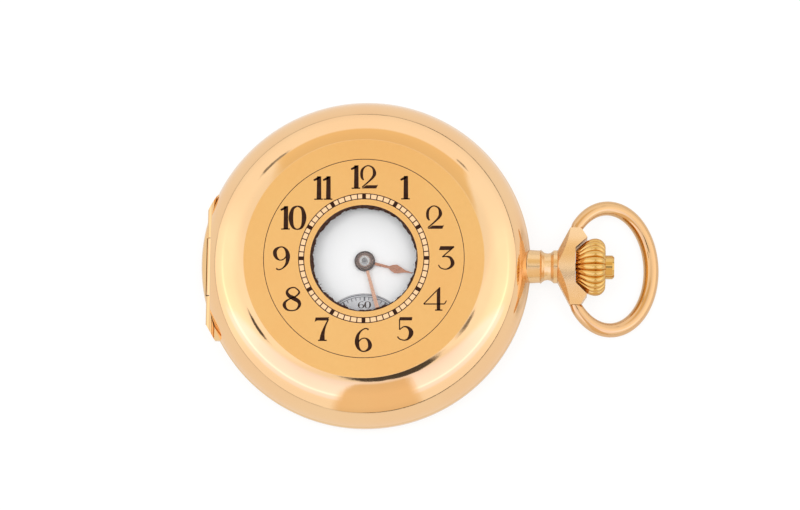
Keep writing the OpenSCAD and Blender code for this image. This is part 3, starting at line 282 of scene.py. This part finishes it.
def hub_bands(blade, hub):
    """A hand's hub, darker than the blade: its tone is the metal's own, while its dark rings are painted
    shade and its pale ring is a painted highlight.
    """
    dark = [c * 0.28 for c in hub]
    pale = [min(1, c * 1.9) for c in hub]
    # Dark rings of painted shade at the hub's steps and edge, round a pale ring of painted highlight.
    return [(0.74, dark), (0.80, pale), (0.95, pale), (1.00, dark), (1.06, hub), (1.36, hub), (1.44, dark),
            (1.60, dark), (1.66, blade)]


WHEEL_END, WHEEL_ARBOR, WHEEL_BRASS = (0.30, 0.30, 0.33), (0.62, 0.62, 0.64), (0.80, 0.55, 0.24)
gold_case = gold_material("gold_case", (0.845, 0.560, 0.275), 0.06)
gold_bow = gold_material("gold_bow", (0.75, 0.462, 0.220), 0.05)
gold_crown = gold_material("gold_crown", (0.74, 0.465, 0.145), 0.06)
gold_inside = gold_material("gold_inside", (0.88, 0.54, 0.22), 0.14)
ink = paint_material("ink_black", (0.030, 0.010, 0.004), 0.25)
# Brown ink for the fine circle and the minute track, also used for the dark ring of painted shade round the
# window.
brown_ink_and_shade = paint_material("brown_ink_and_shade", (0.040, 0.012, 0.005), 1.0)
ink_grey = paint_material("ink_grey", (0.15, 0.15, 0.17), 1.0)
cream = paint_material("cream_enamel", (0.86, 0.56, 0.31), 0.6)

slot_look = {
    "gold": gold_material("gold_polished", (0.885, 0.605, 0.310), 0.05),
    "glass": glass_material("glass_clear", 0.015),
    "steel": metal_material("steel_polished", (0.60, 0.60, 0.61), 0.12),
    "blued_steel": metal_material("steel_blued", (0.035, 0.07, 0.30), 0.15, drift=0.3),
    "nickel": striped_nickel(),
    "gilt_brass": metal_material("gilt_frosted", (0.82, 0.56, 0.24), 0.34, grain=(900, 900, 900),
                                 bump_strength=0.3),
    "enamel": enamel_material("enamel_white", (0.97, 0.97, 0.97)),
    "copper": turned_material("copper_rose", hub_bands((0.60, 0.28, 0.18), (0.22, 0.15, 0.13))),
    "ruby": Look("ruby_polished").made({"Base Color": (0.50, 0.02, 0.08, 1), "Roughness": 0.08, "IOR": 1.76})}
node_look = {
    # The lid's face colour, then the shoulder's paler colour, which is a painted reflection.
    "front_lid": lid_material("gold_lid", (0.905, 0.530, 0.195), (0.905, 0.605, 0.330)),
    "back_cover": gold_case, "case_middle": gold_case,
    "cuvette": gold_inside, "inner_bezel": gold_inside,
    "pendant_neck": gold_material("gold_neck", (0.85, 0.580, 0.285), 0.22),
    "pendant_head": gold_material("gold_head", (0.90, 0.625, 0.330), 0.24),
    "bow": gold_bow,
    "crown": gold_crown, "push_piece": gold_crown,
    "seconds_dial": enamel_material("enamel_grey", (0.66, 0.66, 0.68)),
    "minute_hand": turned_material("copper_pale", hub_bands((0.90, 0.53, 0.38), (0.24, 0.17, 0.15))),
    "center_wheel": turned_material("gilt_steel_centre", [(0.36, WHEEL_END), (0.46, WHEEL_ARBOR),
                                                          (0.80, WHEEL_ARBOR), (0.84, WHEEL_BRASS)])}
for part in frame["record"]["subparts"]:
    obj = frame["nodes"][part["node"]]
    look = node_look.get(part["node"], slot_look[part["material_slot"]])
    for i in range(len(obj.material_slots)):
        obj.material_slots[i].material = look


# Meshes ----------------------------------------------------------------------------------------

def add_mesh(name, verts, faces, mat, body):
    """A smooth mesh object from points in millimetres, riding on a body where one is given."""
    mesh = bpy.data.meshes.new(name)
    mesh.from_pydata([Vector(v) * MM for v in verts], [], faces)
    mesh.validate()
    bm = bmesh.new()
    bm.from_mesh(mesh)
    bmesh.ops.remove_doubles(bm, verts=bm.verts, dist=1e-7)
    bmesh.ops.recalc_face_normals(bm, faces=bm.faces)
    bm.to_mesh(mesh)
    bm.free()
    for poly in mesh.polygons:
        poly.use_smooth = True
    obj = bpy.data.objects.new(name, mesh)
    bpy.context.scene.collection.objects.link(obj)
    obj.data.materials.append(mat)
    if body:
        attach(obj, body)
    return obj


def sharp_by_angle(obj, degrees):
    """Marks edges sharper than an angle, so that flats stay crisp and rounds stay smooth."""
    bm = bmesh.new()
    bm.from_mesh(obj.data)
    limit = math.radians(degrees)
    for edge in bm.edges:
        edge.smooth = len(edge.link_faces) == 2 and edge.calc_face_angle(0) < limit
    bm.to_mesh(obj.data)
    bm.free()


def spline(points, per_span):
    """Points on a Catmull-Rom curve through the given points of any dimension."""
    out = []
    last = len(points) - 1
    for i in range(last):
        p0, p1, p2, p3 = (points[max(i - 1, 0)], points[i], points[i + 1], points[min(i + 2, last)])
        for k in range(per_span):
            t = k / per_span
            out.append(tuple(0.5 * (2 * b + (c - a) * t + (2 * a - 5 * b + 4 * c - d) * t * t
                                    + (3 * b - a - 3 * c + d) * t ** 3)
                             for a, b, c, d in zip(p0, p1, p2, p3)))
    out.append(tuple(points[last]))
    return out


# Painted marks ---------------------------------------------------------------------------------
# Each digit has a height of one: strokes of (x, y, width) and filled outlines.
SIX = [[(.22, .93, .05), (.1, .985, .03), (-.08, .9, .04), (-.23, .7, .1), (-.27, .42, .16), (-.22, .18, .11),
        (-.08, .03, .04), (.08, .02, .04), (.24, .13, .11), (.28, .28, .14), (.22, .46, .1), (.08, .57, .03),
        (-.08, .54, .03), (-.2, .42, .03)]]
STROKES = {
    "0": [[(0, 1, .03), (-.2, .88, .1), (-.28, .5, .17), (-.2, .12, .1), (0, 0, .03), (.2, .12, .1),
           (.28, .5, .17), (.2, .88, .1), (0, 1, .03)]],
    "1": [[(.03, 0, .17), (.03, 1, .15)], [(-.2, .83, .05), (-.05, .9, .08), (.07, .985, .03)],
          [(-.17, .015, .03), (.2, .015, .03)]],
    "2": [[(-.24, .36, .03), (-.32, .51, .09), (-.31, .77, .09), (-.19, .93, .04), (-.03, .98, .03),
           (.15, .88, .06), (.22, .67, .12), (.17, .51, .09), (.01, .33, .05), (-.31, .05, .03)]],
    "3": [[(.33, .97, .03), (-.165, .54, .03)],
          [(-.165, .54, .025), (-.02, .56, .03), (.13, .53, .07), (.215, .45, .1), (.27, .27, .14),
           (.19, .11, .08), (-.01, .015, .03), (-.23, .07, .03), (-.33, .2, .025)]],
    "4": [[(.2, .98, .025), (-.48, .28, .025)], [(-.48, .275, .03), (.40, .275, .03)],
          [(.40, .275, .03), (.48, .42, .02)], [(0, .015, .03), (.31, .015, .03)]],
    "5": [[(-.22, .9, .03), (-.22, .46, .025)],
          [(-.22, .46, .025), (-.05, .585, .03), (.12, .56, .07), (.25, .42, .15), (.26, .27, .16),
           (.16, .09, .08), (0, .015, .03), (-.2, .06, .03), (-.31, .17, .03)]],
    "6": SIX,
    "7": [[(.27, .93, .03), (.12, .6, .06), (.03, .3, .13), (0, .02, .2)],
          [(-.17, .015, .03), (.2, .015, .03)]],
    "8": [[(.28, .86, .04), (.1, .99, .03), (-.12, .95, .05), (-.22, .8, .09), (-.13, .64, .13),
           (.05, .54, .15), (.27, .4, .13), (.31, .24, .1), (.2, .07, .05), (0, .01, .03), (-.22, .06, .06),
           (-.33, .24, .12), (-.27, .4, .07), (-.08, .52, .03), (.15, .62, .04), (.29, .76, .06),
           (.28, .86, .04)]],
    "9": [[(-x, 1 - y, w) for x, y, w in SIX[0]]],
}
FILLS = {
    "2": [(-.33, 0), (.30, 0), (.38, .18), (.33, .14), (-.12, .14)],
    "3": [(-.31, .83), (-.25, 1), (.35, 1), (.18, .83)],
    "4": [(.07, 0), (.22, 0), (.22, 1), (.07, .8)],
    "5": [(-.25, .855), (-.21, .995), (.32, .995), (.30, .855)],
    "7": [(-.32, .8), (-.28, .99), (.30, 1), (.22, .86), (-.22, .86)],
}
# Where the digits of a number stand beside its middle.
LAYOUT = {"10": (-.32, .2), "11": (-.2, .2), "12": (-.36, .22), "60": (-.36, .36), "15": (-.3, .3),
          "30": (-.36, .36), "45": (-.42, .38)}
# A stroke's width in the tables is drawn a little bolder: a fixed part and a factor.
STROKE_BASE, STROKE_FACTOR = 0.022, 1.05


def digit(char, x0, y0, height, z, verts, faces, wide=1.0):
    """Adds one digit's strokes and fills, its foot centred on x0; wide stretches it sideways."""
    for stroke in STROKES[char]:
        per_span = 7 if len(stroke) > 2 else 1
        line = [(x, y, STROKE_BASE + STROKE_FACTOR * w) for x, y, w in spline(stroke, per_span)]
        start = len(verts)
        for i, (x, y, w) in enumerate(line):
            ax, ay, _w = line[max(i - 1, 0)]
            bx, by, _w = line[min(i + 1, len(line) - 1)]
            run = math.hypot(bx - ax, by - ay)
            nx, ny = -(by - ay) / run * w / 2, (bx - ax) / run * w / 2
            verts += [(x0 + (x + nx) * height * wide, y0 + (y + ny) * height, z),
                      (x0 + (x - nx) * height * wide, y0 + (y - ny) * height, z)]
        faces += [(start + 2 * i, start + 2 * i + 1, start + 2 * i + 3, start + 2 * i + 2)
                  for i in range(len(line) - 1)]
    if char in FILLS:
        start = len(verts)
        verts += [(x0 + x * height * wide, y0 + y * height, z) for x, y in FILLS[char]]
        faces.append(tuple(range(start, len(verts))))


def number(text, centre, height, z, verts, faces, wide=1.0):
    """A number whose middle is at the centre."""
    for char, shift in zip(text, LAYOUT.get(text, (0, 0))):
        digit(char, centre[0] + shift * height * wide, centre[1] - height / 2, height, z, verts, faces, wide)


def ring_marks(centre, r0, r1, z, verts, faces, count=240, wobble=None, rise=0.0):
    """A ring between two radii; wobble changes the inner radius, rise lifts the outer one."""
    start = len(verts)
    for i in range(count + 1):
        a = math.radians(360.0 * i / count)
        inner = r0 + (wobble(a) if wobble else 0)
        for r, lift in ((inner, 0), (r1, rise)):
            verts.append((centre[0] + r * math.cos(a), centre[1] + r * math.sin(a), z + lift))
    faces += [(start + 2 * i, start + 2 * i + 1, start + 2 * i + 3, start + 2 * i + 2) for i in range(count)]


def bar_marks(centre, r0, r1, width, angles, z, verts, faces):
    """Straight bars pointing away from a centre."""
    for degrees in angles:
        a = math.radians(degrees)
        ux, uy = math.cos(a), math.sin(a)
        start = len(verts)
        for r, s in ((r0, -1), (r1, -1), (r1, 1), (r0, 1)):
            across = s * width / 2
            verts.append((centre[0] + r * ux - across * uy, centre[1] + r * uy + across * ux, z))
        faces.append((start, start + 1, start + 2, start + 3))


# The lid's print is turned by this angle in the photograph.
PRINT_TURN = math.radians(0.7)


def marks(name, mat, body, draw):
    """A painted piece facing up, from a drawing function; its overlapping strokes stay apart."""
    verts, faces = [], []
    draw(verts, faces)
    if body == "lid":
        c, s = math.cos(PRINT_TURN), math.sin(PRINT_TURN)
        verts = [(x * c - y * s, x * s + y * c, z) for x, y, z in verts]
    mesh = bpy.data.meshes.new(name)
    mesh.from_pydata([Vector(v) * MM for v in verts], [], faces)
    for poly in mesh.polygons:
        if poly.normal.z < 0:
            poly.flip()
    obj = bpy.data.objects.new(name, mesh)
    bpy.context.scene.collection.objects.link(obj)
    mesh.materials.append(mat)
    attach(obj, body)


# All in millimetres: how far paint lies over its ground, and the radii and heights of what is painted.
PAINT = 0.012
INK_Z = LID_Z + PAINT
HOUR_R, HOUR_H = 12.83, 3.68
FINE_CIRCLE = (15.575, 15.685)
TRACK_R0, TRACK_R1, TRACK_LINE = 9.36, 10.16, 0.07
DIAL_HOUR_R, DIAL_HOUR_H = 14.6, 3.5
DIAL_TRACK_R0, DIAL_TRACK_R1, DIAL_TRACK_LINE = 17.7, 18.9, 0.04
EVERY_MINUTE = [6 * i for i in range(60) if i % 5]
EVERY_HOUR = [30 * i for i in range(12)]
# The window's radius, then the inner radius, height and rise of the dark ring of painted shade on the
# window's wall.
WINDOW_R, SHADE_RING_R, SHADE_RING_Z, SHADE_RING_RISE = 8.39, 8.0, LID_Z - 0.535, 0.47
SPECKS = 90


def hour_numbers(radius, height, z, hours):
    """Draws hours upright on a circle."""
    def draw(verts, faces):
        for hour in hours:
            a = math.radians(90 - 30 * hour)
            number(str(hour), (radius * math.cos(a), radius * math.sin(a)), height, z, verts, faces)
    return draw


def track(r0, r1, line, bar, z, verts, faces):
    """A minute track: two circles and a bar between them at every minute."""
    for r in (r0, r1):
        ring_marks((0, 0), r - line, r + line, z, verts, faces)
    bar_marks((0, 0), r0, r1, bar, EVERY_MINUTE, z, verts, faces)


def fine_lines(verts, faces):
    """The fine circle round the hours, and the minute track."""
    ring_marks((0, 0), *FINE_CIRCLE, INK_Z, verts, faces)
    track(TRACK_R0, TRACK_R1, TRACK_LINE, 0.17, INK_Z, verts, faces)


def window_edge(a):
    """The uneven inner edge of the dark ring of painted shade round the glass."""
    return (0.08 * math.sin(7 * a + 1) + 0.06 * math.sin(17 * a) + 0.05 * math.sin(41 * a + 2)
            + 0.03 * math.sin(97 * a) + 0.09 * math.cos(a - 5.6))


def cement(verts, faces):
    """The dark ring of painted shade on the window's wall, with specks strewn along its edge by three fixed
    fractions.
    """
    ring_marks((0, 0), SHADE_RING_R, WINDOW_R, SHADE_RING_Z, verts, faces, 420, wobble=window_edge, rise=SHADE_RING_RISE)
    for i in range(SPECKS):
        a = 2 * math.pi * ((i * 0.61803) % 1) * (1 if i % 3 else 0.4) + 1.9
        r = SHADE_RING_R - 0.22 * ((i * 0.7548) % 1)
        size = 0.02 + 0.045 * ((i * 0.5698) % 1)
        bar_marks((0, 0), r - size, r + size, 1.6 * size, [math.degrees(a)], SHADE_RING_Z, verts, faces)


def seconds_lines(verts, faces):
    """The seconds' two circles, with short bars for the seconds and longer ones for every fifth."""
    z = SECONDS_Z + PAINT
    for r0, r1 in ((6.93, 7.07), (6.66, 6.76)):
        ring_marks(SECONDS_C, r0, r1, z, verts, faces, 200)
    bar_marks(SECONDS_C, 6.22, 6.70, 0.13, [a for a in range(0, 360, 6) if a % 30], z, verts, faces)
    bar_marks(SECONDS_C, 6.08, 6.76, 0.26, range(0, 360, 30), z, verts, faces)


def seconds_numbers(verts, faces):
    """Four wide numbers on the seconds dial."""
    for text, degrees in (("60", 90), ("15", 0), ("30", -90), ("45", 180)):
        a = math.radians(degrees)
        centre = (SECONDS_C[0] + 5.2 * math.cos(a), SECONDS_C[1] + 5.45 * math.sin(a))
        number(text, centre, 1.05, SECONDS_Z + PAINT, verts, faces, 1.35)


def dial_track(verts, faces):
    """The dial's minute track with bolder bars at the hours."""
    z = DIAL_Z + PAINT
    track(DIAL_TRACK_R0, DIAL_TRACK_R1, DIAL_TRACK_LINE, 0.10, z, verts, faces)
    bar_marks((0, 0), DIAL_TRACK_R0, DIAL_TRACK_R1, 0.32, EVERY_HOUR, z, verts, faces)


marks("lid_numerals", ink, "lid", hour_numbers(HOUR_R, HOUR_H, INK_Z, range(1, 13)))
marks("lid_fine_lines", brown_ink_and_shade, "lid", fine_lines)
marks("lid_hour_blocks", ink, "lid",
      lambda v, f: bar_marks((0, 0), TRACK_R0 - TRACK_LINE, TRACK_R1 + TRACK_LINE, 0.60, EVERY_HOUR,
                             INK_Z + 0.002, v, f))
marks("lid_track_cells", cream, "lid",
      lambda v, f: ring_marks((0, 0), TRACK_R0, TRACK_R1, INK_Z - 0.006, v, f))
# A dark ring of painted shade on the window's wall.
marks("window_painted_shade", brown_ink_and_shade, "lid", cement)
marks("seconds_lines", ink_grey, "case", seconds_lines)
marks("seconds_numbers", ink, "case", seconds_numbers)
marks("dial_numerals", ink, "case",
      hour_numbers(DIAL_HOUR_R, DIAL_HOUR_H, DIAL_Z + PAINT, [h for h in range(1, 13) if h != 6]))
marks("dial_track", ink, "case", dial_track)


# The crown -------------------------------------------------------------------------------------
# The pendant's pieces lie along x; these are the starts of the neck, the head and the crown.
NECK_X = CASE_R + 0.15
HEAD_X = NECK_X + 4.05
CROWN_X, CROWN_LEN = HEAD_X + 2.85, 4.7
CROWN_END = CROWN_X + CROWN_LEN
RIBS, RIB_DEPTH, RIB_FADE = 24, 0.58, 6
STEM_HOLE_R = 0.62
rib_line = spline([(0.0, 2.55), (0.8, 3.36), (1.8, 4.15), (2.9, 4.50), (3.8, 4.36), (4.35, 3.92),
                   (4.62, 3.45), (4.68, 3.05)], 5)
# From the stem's hole over the ribbed outside, then the recess and the bore of the push piece.
crown_profile = ([(CROWN_X, STEM_HOLE_R)] + [(CROWN_X + x, r) for x, r in rib_line]
                 + [(CROWN_END, 2.6), (CROWN_END, 2.0), (CROWN_END - 0.1, 1.93), (CROWN_END - 1.15, 1.93),
                    (CROWN_END - 1.2, 1.1), (CROWN_X + 2.1, 1.08), (CROWN_X + 2.0, STEM_HOLE_R)])


def rib(k, a):
    """How deep the ribs' surface lies: rounded, with fine grooves, fading out at the outer end."""
    if not 1 <= k <= len(rib_line):
        return 0
    t = 2 * ((a * RIBS / (2 * math.pi)) % 1) - 1
    depth = RIB_DEPTH * min(1, (len(rib_line) - k) / RIB_FADE)
    return depth * (1 - math.sqrt(max(0, 1 - 0.98 * t * t)))


def crown_mesh(count):
    """The crown's profile turned round the stem."""
    verts, faces = [], []
    n = len(crown_profile)
    for i in range(count):
        a = 2 * math.pi * i / count
        for k, (x, r) in enumerate(crown_profile):
            r -= rib(k, a)
            verts.append((x, r * math.sin(a), STEM_Z + r * math.cos(a)))
    for i in range(count):
        j = (i + 1) % count
        for k in range(n):
            m = (k + 1) % n
            faces.append((i * n + k, i * n + m, j * n + m, j * n + k))
    return add_mesh("crown_ribbed", verts, faces, gold_crown, "crown_stem")


crown = crown_mesh(RIBS * 12)
sharp_by_angle(crown, 50)
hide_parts("crown")


# The bow ---------------------------------------------------------------------------------------
# Half the head's width; the bow's half width and length, its wire's radius and that at its ends.
HEAD_HALF, BOW_W, BOW_L, BOW_WIRE, BOW_END = 6.1, 9.7, 7.16, 1.2, 0.92
BOW_X = HEAD_X + 2.8
bow_seat = HEAD_HALF + 0.04
bow_u0 = BOW_L * math.sqrt(1 - (bow_seat / BOW_W) ** 2) + 0.1
bow_start = math.asin(bow_seat / BOW_W)
bow_droop = math.asin((STEM_Z - BOW_WIRE - 0.06) / (bow_u0 + BOW_L))


def bow_mesh(steps, sides):
    """The bow's oval wire, thinner at its ends, in the plane in which it rests."""
    verts, faces = [], []

    def middle(s):
        a = math.pi - bow_start - s * (2 * math.pi - 2 * bow_start)
        return Vector((bow_u0 + BOW_L * math.cos(a), BOW_W * math.sin(a), 0))
    for i in range(steps + 1):
        s = i / steps
        along = (middle(min(1, s + 0.005)) - middle(max(0, s - 0.005))).normalized()
        side = Vector((-1, 0, 0)) if i in (0, steps) else Vector((-along.y, along.x, 0))
        w = BOW_END + (BOW_WIRE - BOW_END) * math.sqrt(max(0, math.sin(s * math.pi)))
        for j in range(sides):
            a = 2 * math.pi * j / sides
            p = middle(s) + side * (w * math.cos(a)) + Vector((0, 0, w * math.sin(a)))
            verts.append((BOW_X + p.x * math.cos(bow_droop) + p.z * math.sin(bow_droop), p.y,
                          STEM_Z - p.x * math.sin(bow_droop) + p.z * math.cos(bow_droop)))
    for i in range(steps):
        for j in range(sides):
            k = (j + 1) % sides
            faces.append((i * sides + k, i * sides + j, (i + 1) * sides + j, (i + 1) * sides + k))
    faces.append(tuple(range(sides)))
    faces.append(tuple(steps * sides + j for j in reversed(range(sides))))
    return add_mesh("bow_wire", verts, faces, gold_bow, "bow_loop")


bow = bow_mesh(120, 32)
sharp_by_angle(bow, 50)
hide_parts("bow")


# Camera ----------------------------------------------------------------------------------------
# Angles of view, distance in metres, the width in metres that the picture shows, the photograph's
# size and its point in the middle of the case in pixels, and that point's height in metres.
VIEW_AZ, VIEW_EL, ROLL = math.radians(15.6), math.radians(80.7), math.radians(0.5)
DISTANCE, WIDTH_M = 0.600, 0.1259
PHOTO_W, PHOTO_H = 800, 510
CENTRE_PX, CENTRE_Z = (366.05, 265.1), 0.0059
SENSOR_MM = 36
back = Vector((math.sin(VIEW_AZ) * math.cos(VIEW_EL), -math.cos(VIEW_AZ) * math.cos(VIEW_EL),
               math.sin(VIEW_EL)))
right = Vector((1, 0, 0)) - back * back.x
right.normalize()
up = back.cross(right)
right, up = (right * math.cos(ROLL) + up * math.sin(ROLL), up * math.cos(ROLL) - right * math.sin(ROLL))
pixel = WIDTH_M / PHOTO_W
aim = (Vector((0, 0, CENTRE_Z)) + right * (PHOTO_W / 2 - CENTRE_PX[0]) * pixel
       + up * (CENTRE_PX[1] - PHOTO_H / 2) * pixel)
cam_data = bpy.data.cameras.new("camera")
cam_data.sensor_width = SENSOR_MM
cam_data.lens = SENSOR_MM * DISTANCE / WIDTH_M
cam_data.clip_start = 0.01
cam_data.clip_end = 10
cam = bpy.data.objects.new("camera", cam_data)
bpy.context.scene.collection.objects.link(cam)
place = Matrix((right, up, back)).transposed().to_4x4()
place.translation = aim + back * DISTANCE
cam.matrix_world = place
bpy.context.scene.camera = cam
bpy.context.scene.view_settings.view_transform = "Standard"


# Studio ----------------------------------------------------------------------------------------
# Two softboxes over the watch; the gold mirrors the tent below, not them.
for name, x in (("softbox_left", -0.26), ("softbox_right", 0.26)):
    data = bpy.data.lights.new(name, "AREA")
    data.shape = "RECTANGLE"
    data.size, data.size_y = 0.30, 0.40
    data.energy = 1.9
    lamp = bpy.data.objects.new(name, data)
    bpy.context.scene.collection.objects.link(lamp)
    lamp.location = (x, -0.06, 0.85)
    lamp.rotation_euler = (-Vector(lamp.location)).to_track_quat("-Z", "Y").to_euler()
    lamp.visible_glossy = False

# The world is a white tent, white as seen by the camera. In reflections it has a bright belt half way
# up in front and paler side walls, a warm gap in front and a warm wall behind, a dark seam where it
# meets the table and dark openings. Levels are (height, level), openings (direction, size, strength).
PLAIN_TENT = [(0.02, 1.02), (0.30, 1.10), (0.75, 1.12), (0.93, 1.04), (0.98, 1.0)]
BELTED_TENT = [(0.02, 1.08), (0.25, 1.14), (0.34, 1.20), (0.40, 1.56), (0.47, 1.26), (0.75, 1.16),
               (0.88, 1.04)]
OPENINGS = [((-0.005, -0.095, 0.995), 0.100, 1.5), ((0.075, -0.125, 0.988), 0.085, 1.4),
            ((-0.387, -0.067, 0.920), 0.065, 1.2), ((0.190, 0.005, 0.982), 0.045, 1.0),
            ((0.455, 0.660, 0.600), 0.050, 0.8), ((-0.493, 0.573, 0.654), 0.070, 0.9),
            ((-0.440, 0.610, 0.659), 0.060, 0.8)]
GAP_TINT, BACK_TINT, LOW_TINT = (0.86, 0.72, 0.52), (0.87, 0.73, 0.47), (0.98, 1.04, 1.32)
DARKEST = 0.92
DIFFUSE_LEVEL = 0.80
world = bpy.data.worlds.new("studio")
bpy.context.scene.world = world
world.use_nodes = True
sky = Nodes(world.node_tree)
background = sky.tree.nodes["Background"]
path = sky.add("ShaderNodeLightPath")
glossy_ray = path.outputs["Is Glossy Ray"]
direction = sky.where("Generated")
way = sky.add("ShaderNodeSeparateXYZ", Vector=direction)
wx, wy, wz = way.outputs["X"], way.outputs["Y"], way.outputs["Z"]


def step(value, low, high, a, b):
    """A smooth step of a socket of the world's tree."""
    return sky.span(value, low, high, a, b, smooth=True)


side = sky.math("ABSOLUTE", wx, 0)
slope = sky.math("DIVIDE", wx, sky.math("MAXIMUM", sky.math("ABSOLUTE", wy, 0), 0.01))
front_gap = sky.times(step(slope, -0.33, -0.22, 0, 1), step(slope, 0.36, 0.50, 1, 0),
                      step(wy, -0.32, -0.14, 1, 0))
front = sky.times(step(wy, -0.15, 0.45, 1, 0), sky.inverse(front_gap))
height = sky.math("ADD", wz, sky.times(sky.math("MINIMUM", wy, 0.0), 0.35))
low_sides = sky.times(step(wy, -0.24, -0.12, 1, 0), sky.inverse(front_gap),
                      step(height, 0.14, 0.24, 0, 1))
back_wall = sky.times(step(sky.math("SUBTRACT", side, sky.times(wy, 0.78)), -0.06, 0.03, 1, 0),
                      step(wz, 0.66, 0.72, 0, 1), step(wy, 0.18, 0.27, 0, 1))
side_walls = step(sky.math("ABSOLUTE", slope, 0), 0.9, 3.0, 0, 1)
tent = sky.math("ADD", sky.times(sky.levels(height, BELTED_TENT), front),
                sky.times(sky.levels(wz, PLAIN_TENT), sky.inverse(front)))
tent = sky.times(tent, sky.math("ADD", sky.math("ADD", 1.0, sky.times(low_sides, 0.05)),
                                sky.times(side_walls, 0.15)))
patchy = step(sky.noise(2.3, 2.0, point=direction), 0.36, 0.52, 0.3, 1)
dark = sky.times(step(wz, 0.012, 0.036, 0.95, 0), patchy, step(wx, -0.5, 0.4, 0.45, 1))
ragged = sky.noise(34.0, 3.0, 0.7, direction)
for middle, size, strength in OPENINGS:
    apart = sky.add("ShaderNodeVectorMath", operation="DISTANCE")
    sky.feed(direction, apart.inputs[0])
    sky.feed(middle, apart.inputs[1])
    rough_edge = sky.math("ADD", apart.outputs["Value"], sky.times(ragged, 0.08))
    opening = step(rough_edge, size + 0.01, size + 0.045, 0.8, 0)
    dark = sky.math("MAXIMUM", dark, sky.times(opening, strength))
tent = sky.times(tent, sky.inverse(sky.math("MINIMUM", dark, DARKEST)))
seen = sky.math("MAXIMUM", path.outputs["Is Camera Ray"], path.outputs["Is Transmission Ray"])
rest = sky.inverse(sky.math("MAXIMUM", seen, glossy_ray))
seen_or_mirrored = sky.math("ADD", seen, sky.times(tent, glossy_ray))
sky.feed(sky.math("ADD", seen_or_mirrored, sky.times(rest, DIFFUSE_LEVEL)), background.inputs["Strength"])
hue = (1, 1, 1, 1)
for mask, tint in ((front_gap, GAP_TINT), (back_wall, BACK_TINT), (low_sides, LOW_TINT)):
    hue = sky.mix(sky.times(mask, glossy_ray), hue, (*tint, 1))
sky.feed(hue, background.inputs["Color"])

# The table is white and gives off most of its own level, so that the watch's shadow stays light. In
# reflections it is darker, which draws the watch's outline.
SEEN_SHARE, SEEN_LEVEL = 0.78, 1.04
MIRRORED_SHARE, MIRRORED_LEVEL = 0.50, 0.74
TABLE_HALF, TABLE_Z = 3000, -0.02
table = Look("floor_white")
table_path = table.add("ShaderNodeLightPath")
mirrored = table_path.outputs["Is Glossy Ray"]
table_seen = table.math("MAXIMUM", table_path.outputs["Is Camera Ray"],
                        table_path.outputs["Is Transmission Ray"])
share = table.math("ADD", table.times(table_seen, SEEN_SHARE), table.times(mirrored, MIRRORED_SHARE))
level = table.math("ADD", table.times(table_seen, SEEN_LEVEL), table.times(mirrored, MIRRORED_LEVEL))
blend = table.add("ShaderNodeMixShader", Fac=share)
table.feed(table.shader.outputs["BSDF"], blend.inputs[1])
table.feed(table.add("ShaderNodeEmission", Strength=level).outputs["Emission"], blend.inputs[2])
table.feed(blend.outputs["Shader"], table.tree.nodes["Material Output"].inputs["Surface"])
floor_mat = table.made({"Base Color": (0.95, 0.95, 0.95, 1), "Roughness": 0.9, "Specular IOR Level": 0.0})
corners = [(TABLE_HALF * x, TABLE_HALF * y, TABLE_Z) for x, y in ((-1, -1), (1, -1), (1, 1), (-1, 1))]
floor = add_mesh("floor", corners, [(0, 1, 2, 3)], floor_mat, None)
